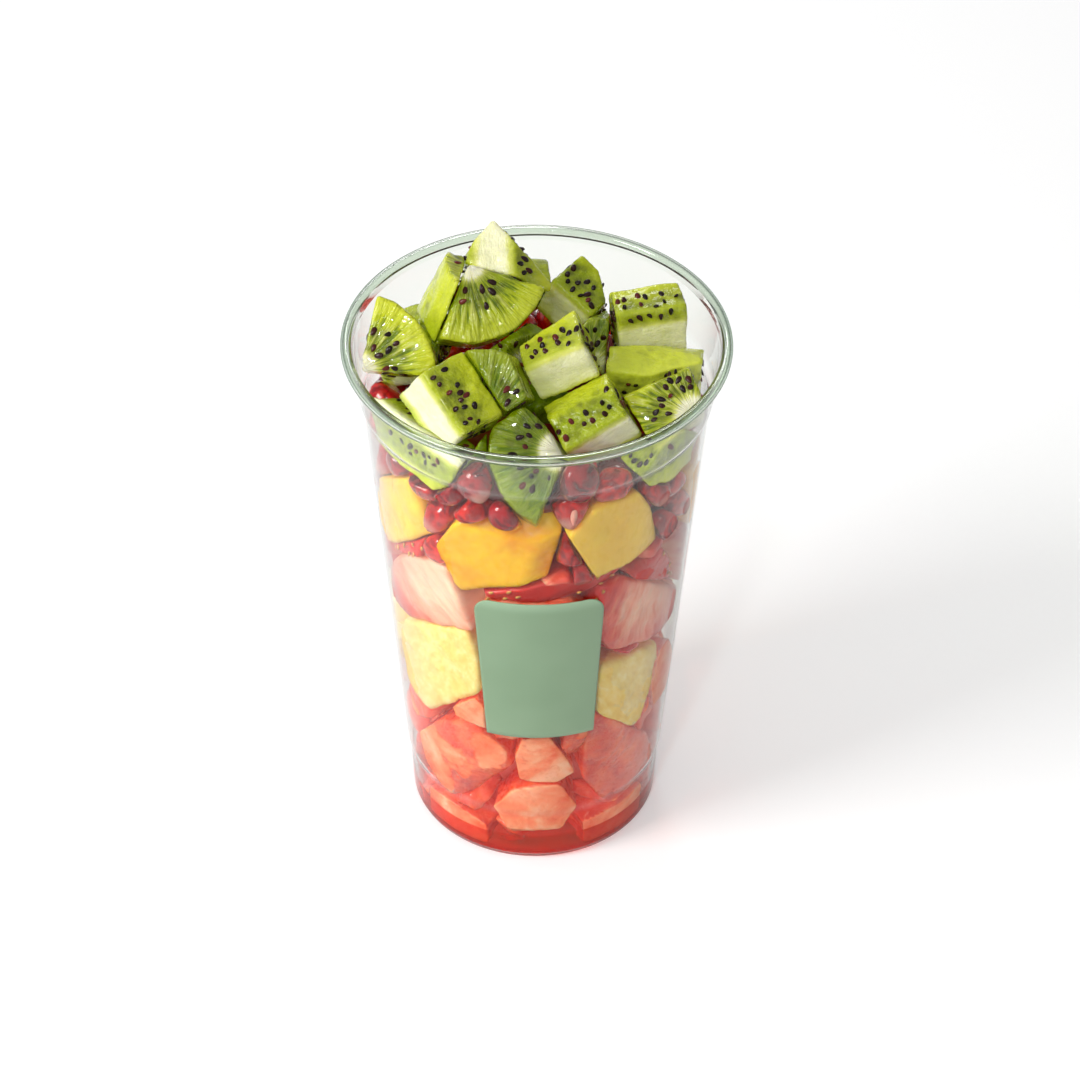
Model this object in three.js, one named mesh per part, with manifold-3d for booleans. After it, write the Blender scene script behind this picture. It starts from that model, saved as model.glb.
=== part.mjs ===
// Fruit cup: a clear plastic cup filled with layers of cut fruit and heaped with kiwi.
// Millimetres, +Z up. The origin is the middle of the foot, on the surface that the cup stands
// on, and the side with the label faces -Y.
import * as THREE from 'three';
import Module from 'manifold-3d';
import { ConvexGeometry } from 'three/addons/geometries/ConvexGeometry.js';
import { mergeVertices } from 'three/addons/utils/BufferGeometryUtils.js';

const wasm = await Module();
wasm.setup();

// ---------------------------------------------------------------- driving dimensions
const GAP = 0.35; // between any two solids
const DEG = Math.PI / 180;
const FLATNESS = 0.6;

const SHEET = 0.6; // thickness of the cup's plastic
const HEIGHT = 152;
const RIM_BEAD = 1.4; // radius of the rolled rim's curl
const RIM_RADIUS = 49; // outermost radius, on the curl
const WALL_SIDES = 44;
const CORE_SIDES = 20;

// Outside of the wall: height above the table and radius.
const WALL = [
  [2.2, 33.4],
  [17, 33.9],
  [20, 34.8],
  [135, 43.9],
  [137, 45.0],
  [148.5, 46.4],
];

const LABEL = { low: 50, high: 99.5, left: -22, right: 25, corner: 5, thick: 0.3, narrow: 0.12 };

// ---------------------------------------------------------------- solids
function solidOf(geometry) {
  const bare = geometry.index ? geometry.toNonIndexed() : geometry.clone();
  bare.deleteAttribute('normal');
  bare.deleteAttribute('uv');
  const merged = mergeVertices(bare, 1e-3);
  const vertProperties = new Float32Array(merged.attributes.position.array);
  const triVerts = new Uint32Array(merged.index.array);
  return new wasm.Manifold(new wasm.Mesh({ numProp: 3, vertProperties, triVerts }));
}

function geometryOf(solid) {
  const mesh = solid.getMesh();
  const geometry = new THREE.BufferGeometry();
  geometry.setAttribute('position', new THREE.BufferAttribute(mesh.vertProperties, 3));
  geometry.setIndex(new THREE.BufferAttribute(mesh.triVerts, 1));
  geometry.computeVertexNormals();
  return geometry;
}

// A body turned about Z from a closed profile of [radius, height] points.
function turned(profile, sides) {
  const points = profile.map(([r, z]) => new THREE.Vector2(r, z));
  const geometry = new THREE.LatheGeometry(points, sides);
  geometry.rotateX(Math.PI / 2);
  return geometry;
}

function outerRadius(z) {
  const i = Math.max(1, WALL.findIndex(([height]) => height >= z));
  const last = z > WALL.at(-1)[0] ? WALL.length - 1 : i;
  const [z0, r0] = WALL[last - 1];
  const [z1, r1] = WALL[last];
  const share = Math.min(Math.max((z - z0) / (z1 - z0), 0), 1);
  return r0 + share * (r1 - r0);
}

const innerRadius = (z) => outerRadius(z) - SHEET;

// A point beside the wall, at an angle from the front, a height and a depth inside the wall.
function beside(angle, z, depth = GAP) {
  const r = innerRadius(z) - depth;
  return new THREE.Vector3(r * Math.sin(angle * DEG), -r * Math.cos(angle * DEG), z);
}

// ---------------------------------------------------------------- the cup
function arc(cx, cz, radius, from, to, steps) {
  const points = [];
  for (let i = 0; i <= steps; i += 1) {
    const a = (from + ((to - from) * i) / steps) * DEG;
    points.push([cx + radius * Math.cos(a), cz + radius * Math.sin(a)]);
  }
  return points;
}

function cupProfile() {
  const bead = [RIM_RADIUS - RIM_BEAD, HEIGHT - RIM_BEAD];
  const foot = [
    [0, 2],
    [28.6, 2],
    [29.5, 0],
    [31.4, 0],
    [32.6, 0.7],
  ];
  const curlEnd = -115;
  const outside = WALL.map(([z, r]) => [r, z]);
  const curlInside = arc(...bead, RIM_BEAD - SHEET, 180, curlEnd, 6);
  const curlOutside = arc(...bead, RIM_BEAD, curlEnd, 180, 9);
  const inside = WALL.map(([z, r]) => [r - SHEET, z + 0.1]).reverse();
  const floor = [
    [31.8, SHEET + 0.6],
    [31.2, SHEET],
    [29.9, SHEET],
    [29.0, 2 + SHEET],
    [0, 2 + SHEET],
  ];
  return [...foot, ...outside, ...curlInside, ...curlOutside, ...inside, ...floor];
}

const makeCup = () => solidOf(turned(cupProfile(), WALL_SIDES));

// The label is a thin patch bent round the wall, with its two top corners rounded off.
function makeLabel() {
  const { low, high, left, right, corner, thick, narrow } = LABEL;
  const columns = 14;
  const positions = [];
  const index = [];
  const heights = [low, (low + high) / 2, high - corner, high - corner * 0.3, high];
  for (const out of [GAP, GAP + thick]) {
    for (const z of heights) {
      const bend = Math.max(0, 1 - (high - z) / corner);
      const cut = (corner / 43 / DEG) * (1 - Math.sqrt(1 - bend * bend));
      const slope = (narrow * (high - z)) / 2;
      for (let i = 0; i <= columns; i += 1) {
        const from = left + cut + slope;
        const angle = from + ((right - cut - slope * 0.3 - from) * i) / columns;
        const p = beside(angle, z, -SHEET - out);
        positions.push(p.x, p.y, p.z);
      }
    }
  }
  const row = columns + 1;
  const sheet = row * heights.length;
  const quad = (a, b, c, d) => index.push(a, b, c, a, c, d);
  for (let j = 0; j < heights.length - 1; j += 1) {
    for (let i = 0; i < columns; i += 1) {
      const a = j * row + i;
      quad(a, a + row, a + row + 1, a + 1);
      quad(sheet + a, sheet + a + 1, sheet + a + row + 1, sheet + a + row);
    }
    const l = j * row;
    quad(l, sheet + l, sheet + l + row, l + row);
    quad(l + columns, l + columns + row, sheet + l + columns + row, sheet + l + columns);
  }
  const top = (heights.length - 1) * row;
  for (let i = 0; i < columns; i += 1) {
    quad(i, i + 1, sheet + i + 1, sheet + i);
    quad(top + i, sheet + top + i, sheet + top + i + 1, top + i + 1);
  }
  const geometry = new THREE.BufferGeometry();
  geometry.setAttribute('position', new THREE.Float32BufferAttribute(positions, 3));
  geometry.setIndex(index);
  return solidOf(geometry);
}

// ---------------------------------------------------------------- pieces of cut fruit
// A piece is convex. It is kept as planes { n, d }: a point p is inside where n.p <= d.
const plane = (n, point) => {
  const unit = n.clone().normalize();
  return { n: unit, d: unit.dot(point) };
};

const insideAll = (planes, p, slack = 1e-4) => planes.every(({ n, d }) => n.dot(p) <= d + slack);

function meet(a, b, c) {
  const bc = b.n.clone().cross(c.n);
  const det = a.n.dot(bc);
  if (Math.abs(det) < 1e-6) return null;
  const point = bc.multiplyScalar(a.d);
  point.addScaledVector(c.n.clone().cross(a.n), b.d);
  point.addScaledVector(a.n.clone().cross(b.n), c.d);
  return point.divideScalar(det);
}

function cornersOf(planes) {
  const corners = [];
  for (let i = 0; i < planes.length; i += 1) {
    for (let j = i + 1; j < planes.length; j += 1) {
      for (let k = j + 1; k < planes.length; k += 1) {
        const p = meet(planes[i], planes[j], planes[k]);
        if (!p || !insideAll(planes, p)) continue;
        if (corners.every((q) => q.distanceTo(p) > 0.02)) corners.push(p);
      }
    }
  }
  return corners;
}

function hullPlanes(points) {
  const planes = [];
  const keep = (n, point) => {
    const found = plane(n, point);
    const same = (other) => other.n.dot(found.n) > 0.9999 && Math.abs(other.d - found.d) < 0.01;
    if (insideAll([found], point) && points.every((p) => found.n.dot(p) <= found.d + 1e-4)) {
      if (!planes.some(same)) planes.push(found);
    }
  };
  for (let i = 0; i < points.length; i += 1) {
    for (let j = i + 1; j < points.length; j += 1) {
      for (let k = j + 1; k < points.length; k += 1) {
        const u = points[j].clone().sub(points[i]);
        const n = u.cross(points[k].clone().sub(points[i]));
        if (n.length() < 1e-6) continue;
        keep(n, points[i]);
        keep(n.negate(), points[i]);
      }
    }
  }
  return planes;
}

// Kiwi: cut from a fruit whose axis runs along `along` through `core`. The piece lies on the
// side `out` of the axis, between an inner cut, two side cuts that open by `flare` degrees,
// two cross cuts `long` apart, and the peeled skin. `tip` slopes one end to a point, and `taper`
// widens the fruit along its axis.
function kiwiPiece({ name, core, out, along, wide, flare, inner, long, radius, tip = 0, taper = 0 }) {
  const c = new THREE.Vector3(...core);
  const er = new THREE.Vector3(...out).normalize();
  const ea = new THREE.Vector3(...along);
  ea.addScaledVector(er, -ea.dot(er)).normalize();
  const et = ea.clone().cross(er);
  const at = (v, t, a) => c.clone().addScaledVector(er, v).addScaledVector(et, t).addScaledVector(ea, a);
  const mix = (v, t, a) => at(v, t, a).sub(c);
  const planes = [
    plane(mix(-1, 0, 0), at(inner, 0, 0)),
    plane(mix(0, 0, 1), at(0, 0, long / 2)),
    plane(mix(0, 0, -1), at(0, 0, -long / 2)),
  ];
  const lean = flare * DEG;
  const reach = Math.min(80 * DEG, lean + Math.asin(Math.min(1, wide / radius)));
  const skinFaces = 6;
  for (const side of [-1, 1]) {
    planes.push(plane(mix(-Math.sin(lean), side * Math.cos(lean), 0), at(inner, side * wide, 0)));
    if (tip > 0) planes.push(plane(mix(0, side * tip, 1), at(inner, 0, long / 2)));
  }
  for (let i = 0; i < skinFaces; i += 1) {
    const a = reach * ((2 * i + 1) / skinFaces - 1);
    const touch = at(radius * Math.cos(a), radius * Math.sin(a), 0);
    planes.push(plane(mix(Math.cos(a), Math.sin(a), -taper), touch));
  }
  return { name, planes };
}

// Fruit pressed against the wall: an outline of [angle, height] corners on the wall, and the
// same outline drawn in a little, `deep` millimetres further inside the cup. FLATNESS says how
// nearly the side at the wall is one flat cut.
function wallPiece(outline, deep = 21, narrowing = 0.72) {
  const face = outline.map(([angle, z]) => beside(angle, z));
  const middle = new THREE.Vector3();
  face.forEach((p) => middle.addScaledVector(p, 1 / face.length));
  const inward = new THREE.Vector3(-middle.x, -middle.y, 0).normalize();
  const deepest = Math.max(...face.map((p) => inward.dot(p)));
  face.forEach((p) => p.addScaledVector(inward, FLATNESS * (deepest - inward.dot(p))));
  middle.addScaledVector(inward, deep);
  const back = face.map((p) => middle.clone().lerp(p.clone().addScaledVector(inward, deep), narrowing));
  return { planes: hullPlanes([...face, ...back]) };
}

// ---------------------------------------------------------------- where the pieces lie
const KIWI = [
  { name: 'kiwi_01', core: [-18, 8.5, 168], out: [0.45, -0.58, -0.68], along: [0.1, -0.7, 0.7],
    wide: 0.5, flare: 47, inner: 1, long: 12, radius: 20.5 },
  { name: 'kiwi_02', core: [6.5, -18, 153], out: [-0.1, 1, -0.1], along: [0.9, 0.14, 0.4],
    wide: 5.5, flare: 4, inner: 2, long: 16.5, radius: 16, taper: 0.3 },
  { name: 'kiwi_03', core: [-27, -30.5, 150], out: [0.7, 0.7, -0.1], along: [0.55, -0.65, -0.55],
    wide: 7, flare: 6, inner: 2, long: 19, radius: 17 },
  { name: 'kiwi_04', core: [17.5, -30.5, 140.5], out: [-0.4, 0.9, 0.25], along: [0.8, 0.35, 0.5],
    wide: 6.5, flare: 6, inner: 2, long: 18, radius: 18.5 },
  { name: 'kiwi_05', core: [-11.5, 8.5, 173], out: [0.14, 0.62, -0.77], along: [0, 0.85, 0.6],
    wide: 6, flare: 36, inner: 3, long: 17, radius: 19, tip: 1.1 },
  { name: 'kiwi_06', core: [-44, -13, 150], out: [0.8, 0.38, 0.45], along: [0.1, -0.7, 0.7],
    wide: 0.5, flare: 40, inner: 1, long: 13, radius: 19.5 },
  { name: 'kiwi_07', core: [29.5, 1.5, 150.5], out: [-0.2, 1, 0], along: [0.95, 0.3, 0.05],
    wide: 7.5, flare: 2, inner: 2, long: 18, radius: 14 },
  { name: 'kiwi_08', core: [34.5, -21.5, 138.5], out: [-0.4, 0.75, 0.5], along: [0.85, 0.25, 0.25],
    wide: 6, flare: 6, inner: 1, long: 19, radius: 14 },
  { name: 'kiwi_09', core: [29, -3, 134], out: [0.05, 0.05, 1], along: [1, -0.1, -0.1],
    wide: 5.5, flare: 8, inner: 2, long: 24, radius: 14.5 },
  { name: 'kiwi_10', core: [9, -29, 139], out: [-1, -0.15, -0.15], along: [0, -0.7, 0.7],
    wide: 1, flare: 54, inner: 1, long: 13, radius: 20.5 },
  { name: 'kiwi_11', core: [-13, -26.5, 144], out: [0.4, 0.6, 0.7], along: [0, -0.75, 0.65],
    wide: 0.5, flare: 46, inner: 1, long: 12, radius: 19 },
  { name: 'kiwi_12', core: [6, 12, 150], out: [0.6, 0.8, 0], along: [0.7, -0.55, -0.4],
    wide: 6.5, flare: 6, inner: 1, long: 14, radius: 15 },
  { name: 'kiwi_13', core: [-14, 5, 157], out: [-0.8, -0.4, 0.45], along: [0.5, 0.15, 0.85],
    wide: 7, flare: 20, inner: 1, long: 18, radius: 14 },
  { name: 'kiwi_19', core: [-3, -4, 147], out: [0.5, 0.35, 0.8], along: [0.7, -0.65, -0.2],
    wide: 7, flare: 10, inner: -4, long: 15, radius: 9 },
  { name: 'kiwi_14', core: [16, 3, 141], out: [0.3, 0.2, 0.9], along: [0.5, 0.8, -0.3],
    wide: 7, flare: 6, inner: 0, long: 16, radius: 13 },
  { name: 'kiwi_15', core: [-8, 24, 143], out: [0.1, 0.3, 0.95], along: [0.9, 0.1, 0],
    wide: 7, flare: 8, inner: 0, long: 20, radius: 13 },
  { name: 'kiwi_16', core: [-29, 4, 140], out: [-0.3, 0.1, 0.95], along: [0.2, 1, 0],
    wide: 7, flare: 8, inner: 0, long: 20, radius: 12 },
];

// Fruit against the wall, as outlines of [angle, height] corners.
const KIWI_AT_WALL = {
  kiwi_17: [[-70, 144.5], [-69, 132], [-53, 129.5], [-38, 128.5], [-30, 134], [-24, 144.5]],
  kiwi_18: [[35, 139], [36, 136], [42, 129.5], [54, 125.5], [67, 126], [71, 134], [68, 141]],
};

const MANGO = [
  [[-37, 112], [-28, 122], [-2, 126], [4, 128], [9, 121], [6, 110], [4, 105], [-28, 99]],
  [[11, 122], [21, 129], [38, 129], [44, 122], [51, 107], [22, 105]],
  [[-72, 117], [-52, 127], [-45, 121], [-42, 112], [-66, 98], [-76, 101]],
  [[68, 122], [82, 126], [96, 118], [94, 104], [72, 102]],
  [[112, 120], [126, 127], [142, 120], [138, 104], [116, 103]],
  [[156, 122], [172, 128], [190, 122], [188, 106], [160, 103]],
  [[204, 118], [220, 126], [238, 120], [234, 104], [206, 101]],
];

const STRAWBERRY = [
  [[-72, 76], [-70, 90], [-60, 97], [-44, 103], [-32, 102], [-20, 98], [-24, 88], [-40, 83], [-62, 74]],
  [[-74, 92], [-58, 103], [-51, 109], [-46, 109], [-47, 102], [-64, 95]],
  [[-18, 100], [0, 104], [10, 119], [20, 105], [36, 104.5], [36, 102], [12, 99]],
  [[24, 100], [34, 101], [52, 92], [68, 83], [68, 74], [60, 70], [48, 72], [30, 76], [24, 84]],
  [[38, 104], [52, 105.5], [58, 98], [62, 90], [54, 92], [38, 100]],
  [[-20, 96], [-8, 99], [12, 98], [22, 94], [20, 80], [0, 75], [-18, 80]],
  [[78, 99], [92, 101], [106, 92], [104, 78], [84, 75], [76, 84]],
  [[112, 98], [128, 102], [148, 96], [146, 80], [126, 74], [110, 82]],
  [[154, 100], [172, 102], [188, 95], [190, 80], [170, 74], [156, 80]],
  [[196, 97], [212, 101], [230, 96], [232, 80], [214, 74], [198, 79]],
  [[238, 95], [252, 99], [272, 92], [270, 80], [252, 75], [240, 80]],
];

const PINEAPPLE = [
  [[-66, 70], [-60, 76], [-42, 82], [-28, 85], [-22, 74], [-21, 64], [-36, 58], [-52, 44], [-66, 52]],
  [[26, 73], [46, 70], [60, 68], [56, 58], [53, 48], [51, 43], [46, 42], [26, 55]],
  [[-19, 72], [-2, 74], [22, 76], [23, 58], [10, 53], [-18, 55]],
  [[100, 72], [118, 74], [134, 70], [132, 52], [114, 48], [100, 54]],
  [[140, 70], [160, 74], [180, 70], [178, 50], [158, 46], [142, 52]],
  [[188, 72], [206, 74], [226, 70], [222, 52], [204, 47], [190, 54]],
  [[234, 72], [250, 74], [268, 70], [264, 54], [246, 50], [236, 56]],
];

const WATERMELON = [
  [[-60, 33], [-45, 44], [-28, 50], [-12, 44], [-9, 37], [-20, 30], [-38, 16], [-56, 24]],
  [[-18, 20], [-10, 27], [0, 30], [12, 29], [20, 20], [14, 12], [-12, 11]],
  [[-8, 41], [-5, 48], [5, 50], [12, 42], [18, 34], [10, 31], [-6, 33]],
  [[24, 50], [27, 54], [40, 47], [52, 41], [60, 34], [66, 22], [50, 16], [26, 18], [22, 30]],
  [[-36, 56], [-24, 61], [-18, 56], [-16, 50], [-26, 51.5], [-34, 51]],
  [[55, 64], [66, 65], [80, 52], [74, 43], [60, 44], [56, 52]],
  [[-58, 13], [-40, 14], [-22, 11], [-22, 4], [-58, 4]],
  [[22, 15], [44, 14], [60, 14], [60, 4], [24, 4]],
  [[100, 44], [118, 46], [134, 42], [136, 26], [116, 22], [98, 28]],
  [[142, 44], [160, 45], [180, 42], [178, 22], [160, 18], [144, 24]],
  [[186, 44], [204, 46], [222, 42], [224, 26], [204, 20], [188, 24]],
  [[230, 46], [246, 48], [260, 42], [258, 28], [244, 24], [232, 30]],
  [[130, 14], [160, 18], [185, 14], [185, 4], [130, 4]],
];

// Pomegranate seeds against the wall, as [angle, height], then rings of them on the heap.
const SEED = { half: [5.2, 4.6, 6.6], sides: 6, rings: 4, apart: 8.4, clear: 1.5 };
const SEEDS_SEEN = [
  [-60, 127], [-44, 128], [-38, 119.5], [-40, 107], [-25, 134], [-23, 125], [-8, 128], [13, 129], [29, 132],
];
const SEED_ROWS = [
  { z: 121, from: 60, to: 300, step: 15, depth: 5.5, tilt: 0 },
  { z: 129, from: -72, to: 288, step: 13, depth: 5.5, tilt: 0.06 },
  { z: 135, from: -66, to: 294, step: 14, depth: 6.5, tilt: 0.12 },
];
const HEAP_TILT = 0.12; // the heap is lower at the back
const SEED_RINGS = [
  { r: 35, z: 137, count: 19 },
  { r: 27, z: 139, count: 15 },
  { r: 18, z: 141, count: 11 },
  { r: 9, z: 142, count: 6 },
];

// Each heap's core, as [radius, height] up its side; the cores stand on each other.
const CORES = {
  watermelon: [[20, 3.4], [24, 8], [25, 30], [26, 49]],
  pineapple: [[26, 49.4], [26, 72]],
  strawberry: [[26, 72.4], [26, 100]],
  mango: [[26, 100.4], [26, 119]],
  pomegranate: [[31, 119.4], [36, 126], [35, 131], [24, 135], [6, 138]],
};

const LOOKS = {
  cup: { color: 0xd3e2d6, roughness: 0.08, transparent: true, opacity: 0.35 },
  label: { color: 0x90ae8f, roughness: 0.45 },
  kiwi: { color: 0xa9bf2f, roughness: 0.3 },
  watermelon: { color: 0xe8694f, roughness: 0.4 },
  pineapple: { color: 0xf0d976, roughness: 0.4 },
  strawberry: { color: 0xcf4038, roughness: 0.35 },
  mango: { color: 0xf7b92c, roughness: 0.35 },
  pomegranate: { color: 0xb3232f, roughness: 0.25 },
};

// ---------------------------------------------------------------- fitting the pieces together
// Any corner outside the wall is cut off by a plane that touches the wall there.
function keepInside(piece) {
  const highest = WALL.at(-1)[0];
  for (let turn = 0; turn < 14; turn += 1) {
    const corners = cornersOf(piece.planes);
    const over = (p) => Math.hypot(p.x, p.y) - innerRadius(Math.min(p.z, highest)) + GAP;
    const worst = corners.reduce((a, b) => (over(b) > over(a) ? b : a), corners[0]);
    if (over(worst) < 0.05) break;
    const n = new THREE.Vector3(worst.x, worst.y, 0).normalize();
    const touch = n.clone().multiplyScalar(innerRadius(Math.min(worst.z, highest)) - GAP);
    touch.z = Math.min(worst.z, highest);
    n.z = worst.z > highest ? 0 : -0.08;
    piece.planes.push(plane(n, touch));
  }
  piece.corners = cornersOf(piece.planes);
}

const lowest = (n, points) => Math.min(...points.map((p) => n.dot(p)));

function apart(a, b) {
  const parts = (planes, points) => planes.some(({ n, d }) => lowest(n, points) >= d + GAP - 1e-3);
  return parts(a.planes, b.corners) || parts(b.planes, a.corners);
}

// Where two pieces would run into each other, the later one is cut flat beside the earlier one.
function separate(pieces) {
  for (let j = 0; j < pieces.length; j += 1) {
    for (let i = 0; i < j; i += 1) {
      const [first, later] = [pieces[i], pieces[j]];
      if (later.corners.length < 4 || first.corners.length < 4 || apart(first, later)) continue;
      const bite = ({ n, d }) => d + GAP - lowest(n, later.corners);
      const cut = first.planes.reduce((a, b) => (bite(b) < bite(a) ? b : a));
      later.planes.push({ n: cut.n.clone().negate(), d: -(cut.d + GAP) });
      later.corners = cornersOf(later.planes);
    }
  }
  return pieces.filter((piece) => piece.corners.length >= 6);
}

const pieceSolid = (piece) => solidOf(new ConvexGeometry(piece.corners));

const grownSolid = ({ planes }) => {
  const grown = planes.map(({ n, d }) => ({ n, d: d + GAP }));
  return solidOf(new ConvexGeometry(cornersOf(grown)));
};

function coreSolid(side, grow = 0) {
  const [low, high] = [side[0][1], side.at(-1)[1]];
  const wall = side.map(([r, z]) => [r + grow, z]);
  wall[0][1] -= grow;
  wall.at(-1)[1] += grow;
  return solidOf(turned([[0, low - grow], ...wall, [0, high + grow]], CORE_SIDES));
}

// ---------------------------------------------------------------- pomegranate seeds
function seedPlaces() {
  const places = SEEDS_SEEN.map(([angle, z]) => ({ p: beside(angle, z, 5), angle }));
  const settle = (p, tilt) => p.setZ(p.z - tilt * p.y);
  for (const { z, from, to, step, depth, tilt } of SEED_ROWS) {
    for (let angle = from; angle < to; angle += step) {
      const sway = 1.6 * Math.sin(angle * 1.7 + z);
      places.push({ p: settle(beside(angle, z + sway, depth), tilt), angle });
    }
  }
  for (const { r, z, count } of SEED_RINGS) {
    for (let i = 0; i < count; i += 1) {
      const angle = (360 * i) / count + r * 7;
      const sway = 1.2 * Math.sin(i * 2.3 + r);
      const p = new THREE.Vector3(r * Math.sin(angle * DEG), -r * Math.cos(angle * DEG), z + sway);
      places.push({ p: settle(p, HEAP_TILT), angle });
    }
  }
  return places;
}

function seedSolid({ p, angle }, i) {
  const geometry = new THREE.SphereGeometry(1, SEED.sides, SEED.rings);
  geometry.scale(...SEED.half);
  geometry.rotateX(0.5 * Math.sin(i * 2.1));
  geometry.rotateY(0.7 * Math.sin(i * 1.3));
  geometry.rotateZ(angle * DEG);
  geometry.translate(p.x, p.y, p.z);
  return solidOf(geometry);
}

// A seed stays only where it clears the cut fruit and the seeds placed before it.
function chosenSeeds(pieces) {
  const clear = (p) => pieces.every(({ planes }) => !insideAll(planes, p, SEED.clear));
  const chosen = [];
  seedPlaces().forEach((place) => {
    const room = chosen.every(({ p }) => p.distanceTo(place.p) > SEED.apart);
    if (room && clear(place.p)) chosen.push(place);
  });
  return chosen;
}

// ---------------------------------------------------------------- assembly
function largest(solid) {
  const parts = solid.decompose();
  return parts.reduce((a, b) => (b.volume() > a.volume() ? b : a));
}

function meshOf(name, look, solid) {
  const mesh = new THREE.Mesh(geometryOf(solid), new THREE.MeshStandardMaterial(LOOKS[look]));
  mesh.name = name;
  return mesh;
}

const WALL_FRUIT = { mango: MANGO, strawberry: STRAWBERRY, pineapple: PINEAPPLE, watermelon: WATERMELON };

function allPieces() {
  const low = Object.entries(KIWI_AT_WALL).map(([name, outline]) => ({ name, ...wallPiece(outline, 9) }));
  const pieces = [low[0], ...KIWI.map(kiwiPiece), low[1]];
  for (const [heap, outlines] of Object.entries(WALL_FRUIT)) {
    outlines.forEach((outline) => pieces.push({ heap, ...wallPiece(outline) }));
  }
  pieces.forEach(keepInside);
  return separate(pieces);
}

function heapSolid(heap, pieces, seeds) {
  let solid = coreSolid(CORES[heap]);
  const own = pieces.filter((piece) => piece.heap === heap);
  const others = Object.keys(CORES).filter((other) => other !== heap);
  own.forEach((piece) => {
    solid = solid.add(pieceSolid(piece));
  });
  if (heap === 'pomegranate') {
    seeds.forEach((seed, i) => {
      solid = solid.add(seedSolid(seed, i));
    });
    pieces.forEach((piece) => {
      solid = solid.subtract(grownSolid(piece));
    });
  }
  others.forEach((other) => {
    solid = solid.subtract(coreSolid(CORES[other], GAP));
  });
  return largest(solid.intersect(roomSolid()));
}

// The space inside the cup, a gap away from the plastic.
function roomSolid() {
  const side = WALL.map(([z, r]) => [r - SHEET - GAP, z]);
  side[0] = [28, 2 + SHEET + GAP];
  return solidOf(turned([[0, side[0][1]], ...side, [side.at(-1)[0], 220], [0, 220]], WALL_SIDES));
}

function build() {
  const group = new THREE.Group();
  const pieces = allPieces();
  const seeds = chosenSeeds(pieces);
  const heaps = Object.keys(CORES).map((heap) => [heap, heapSolid(heap, pieces, seeds)]);
  group.add(meshOf('cup', 'cup', makeCup()));
  group.add(meshOf('label', 'label', makeLabel()));
  heaps.forEach(([heap, solid]) => group.add(meshOf(heap, heap, solid)));
  const grownCore = coreSolid(CORES.mango, GAP);
  for (const piece of pieces.filter(({ name }) => name)) {
    group.add(meshOf(piece.name, 'kiwi', largest(pieceSolid(piece).subtract(grownCore))));
  }
  return group;
}

export default build();
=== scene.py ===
"""Looks of the fruit cup: rounded cut fruit, seeds, juice, the clear cup, and a plain studio."""

import math
from itertools import combinations

import bpy
import numpy as np
from mathutils import Matrix, Vector


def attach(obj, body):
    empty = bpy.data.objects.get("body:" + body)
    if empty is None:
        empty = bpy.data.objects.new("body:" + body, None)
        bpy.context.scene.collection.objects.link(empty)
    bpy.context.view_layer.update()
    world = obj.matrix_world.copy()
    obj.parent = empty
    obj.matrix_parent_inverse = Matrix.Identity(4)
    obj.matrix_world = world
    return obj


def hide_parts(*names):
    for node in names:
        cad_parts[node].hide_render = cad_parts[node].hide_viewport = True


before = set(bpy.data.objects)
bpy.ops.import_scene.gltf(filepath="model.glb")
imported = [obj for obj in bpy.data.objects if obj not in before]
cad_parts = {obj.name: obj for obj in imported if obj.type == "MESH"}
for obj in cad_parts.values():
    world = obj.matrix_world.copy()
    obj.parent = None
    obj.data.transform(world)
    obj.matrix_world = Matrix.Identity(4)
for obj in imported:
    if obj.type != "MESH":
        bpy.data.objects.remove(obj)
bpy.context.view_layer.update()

MM = 0.001
TURN = 2 * math.pi

# ------------------------------------------------------------------ the cup's sizes, in mm
SHEET = 0.6  # the wall's thickness
GAP = 0.35  # what a piece keeps from the wall and from the next piece
FLATNESS = 0.6  # how much flatter than the wall the fruit's side against it is
HEIGHT = 152
RIM_RADIUS = 49
RIM_BEAD = 1.4  # half the thickness of the rolled rim
# Outside of the wall: height and radius.
WALL = np.array([(2.2, 33.4), (17, 33.9), (20, 34.8), (135, 43.9), (137, 45.0), (148.5, 46.4)])
WALL_LEAN = 0.08  # how much it widens for each mm upward
# The label's edges, its left and right in degrees, its top corners' radius and how it narrows
# downward.
LABEL = {"low": 50, "high": 99.5, "left": -22, "right": 25, "corner": 5, "narrow": 0.12}
JUICE_LEVEL = 9
BAND_LOW = 136  # the foot of the wide band under the rim, where the plastic is a little hazy

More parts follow.
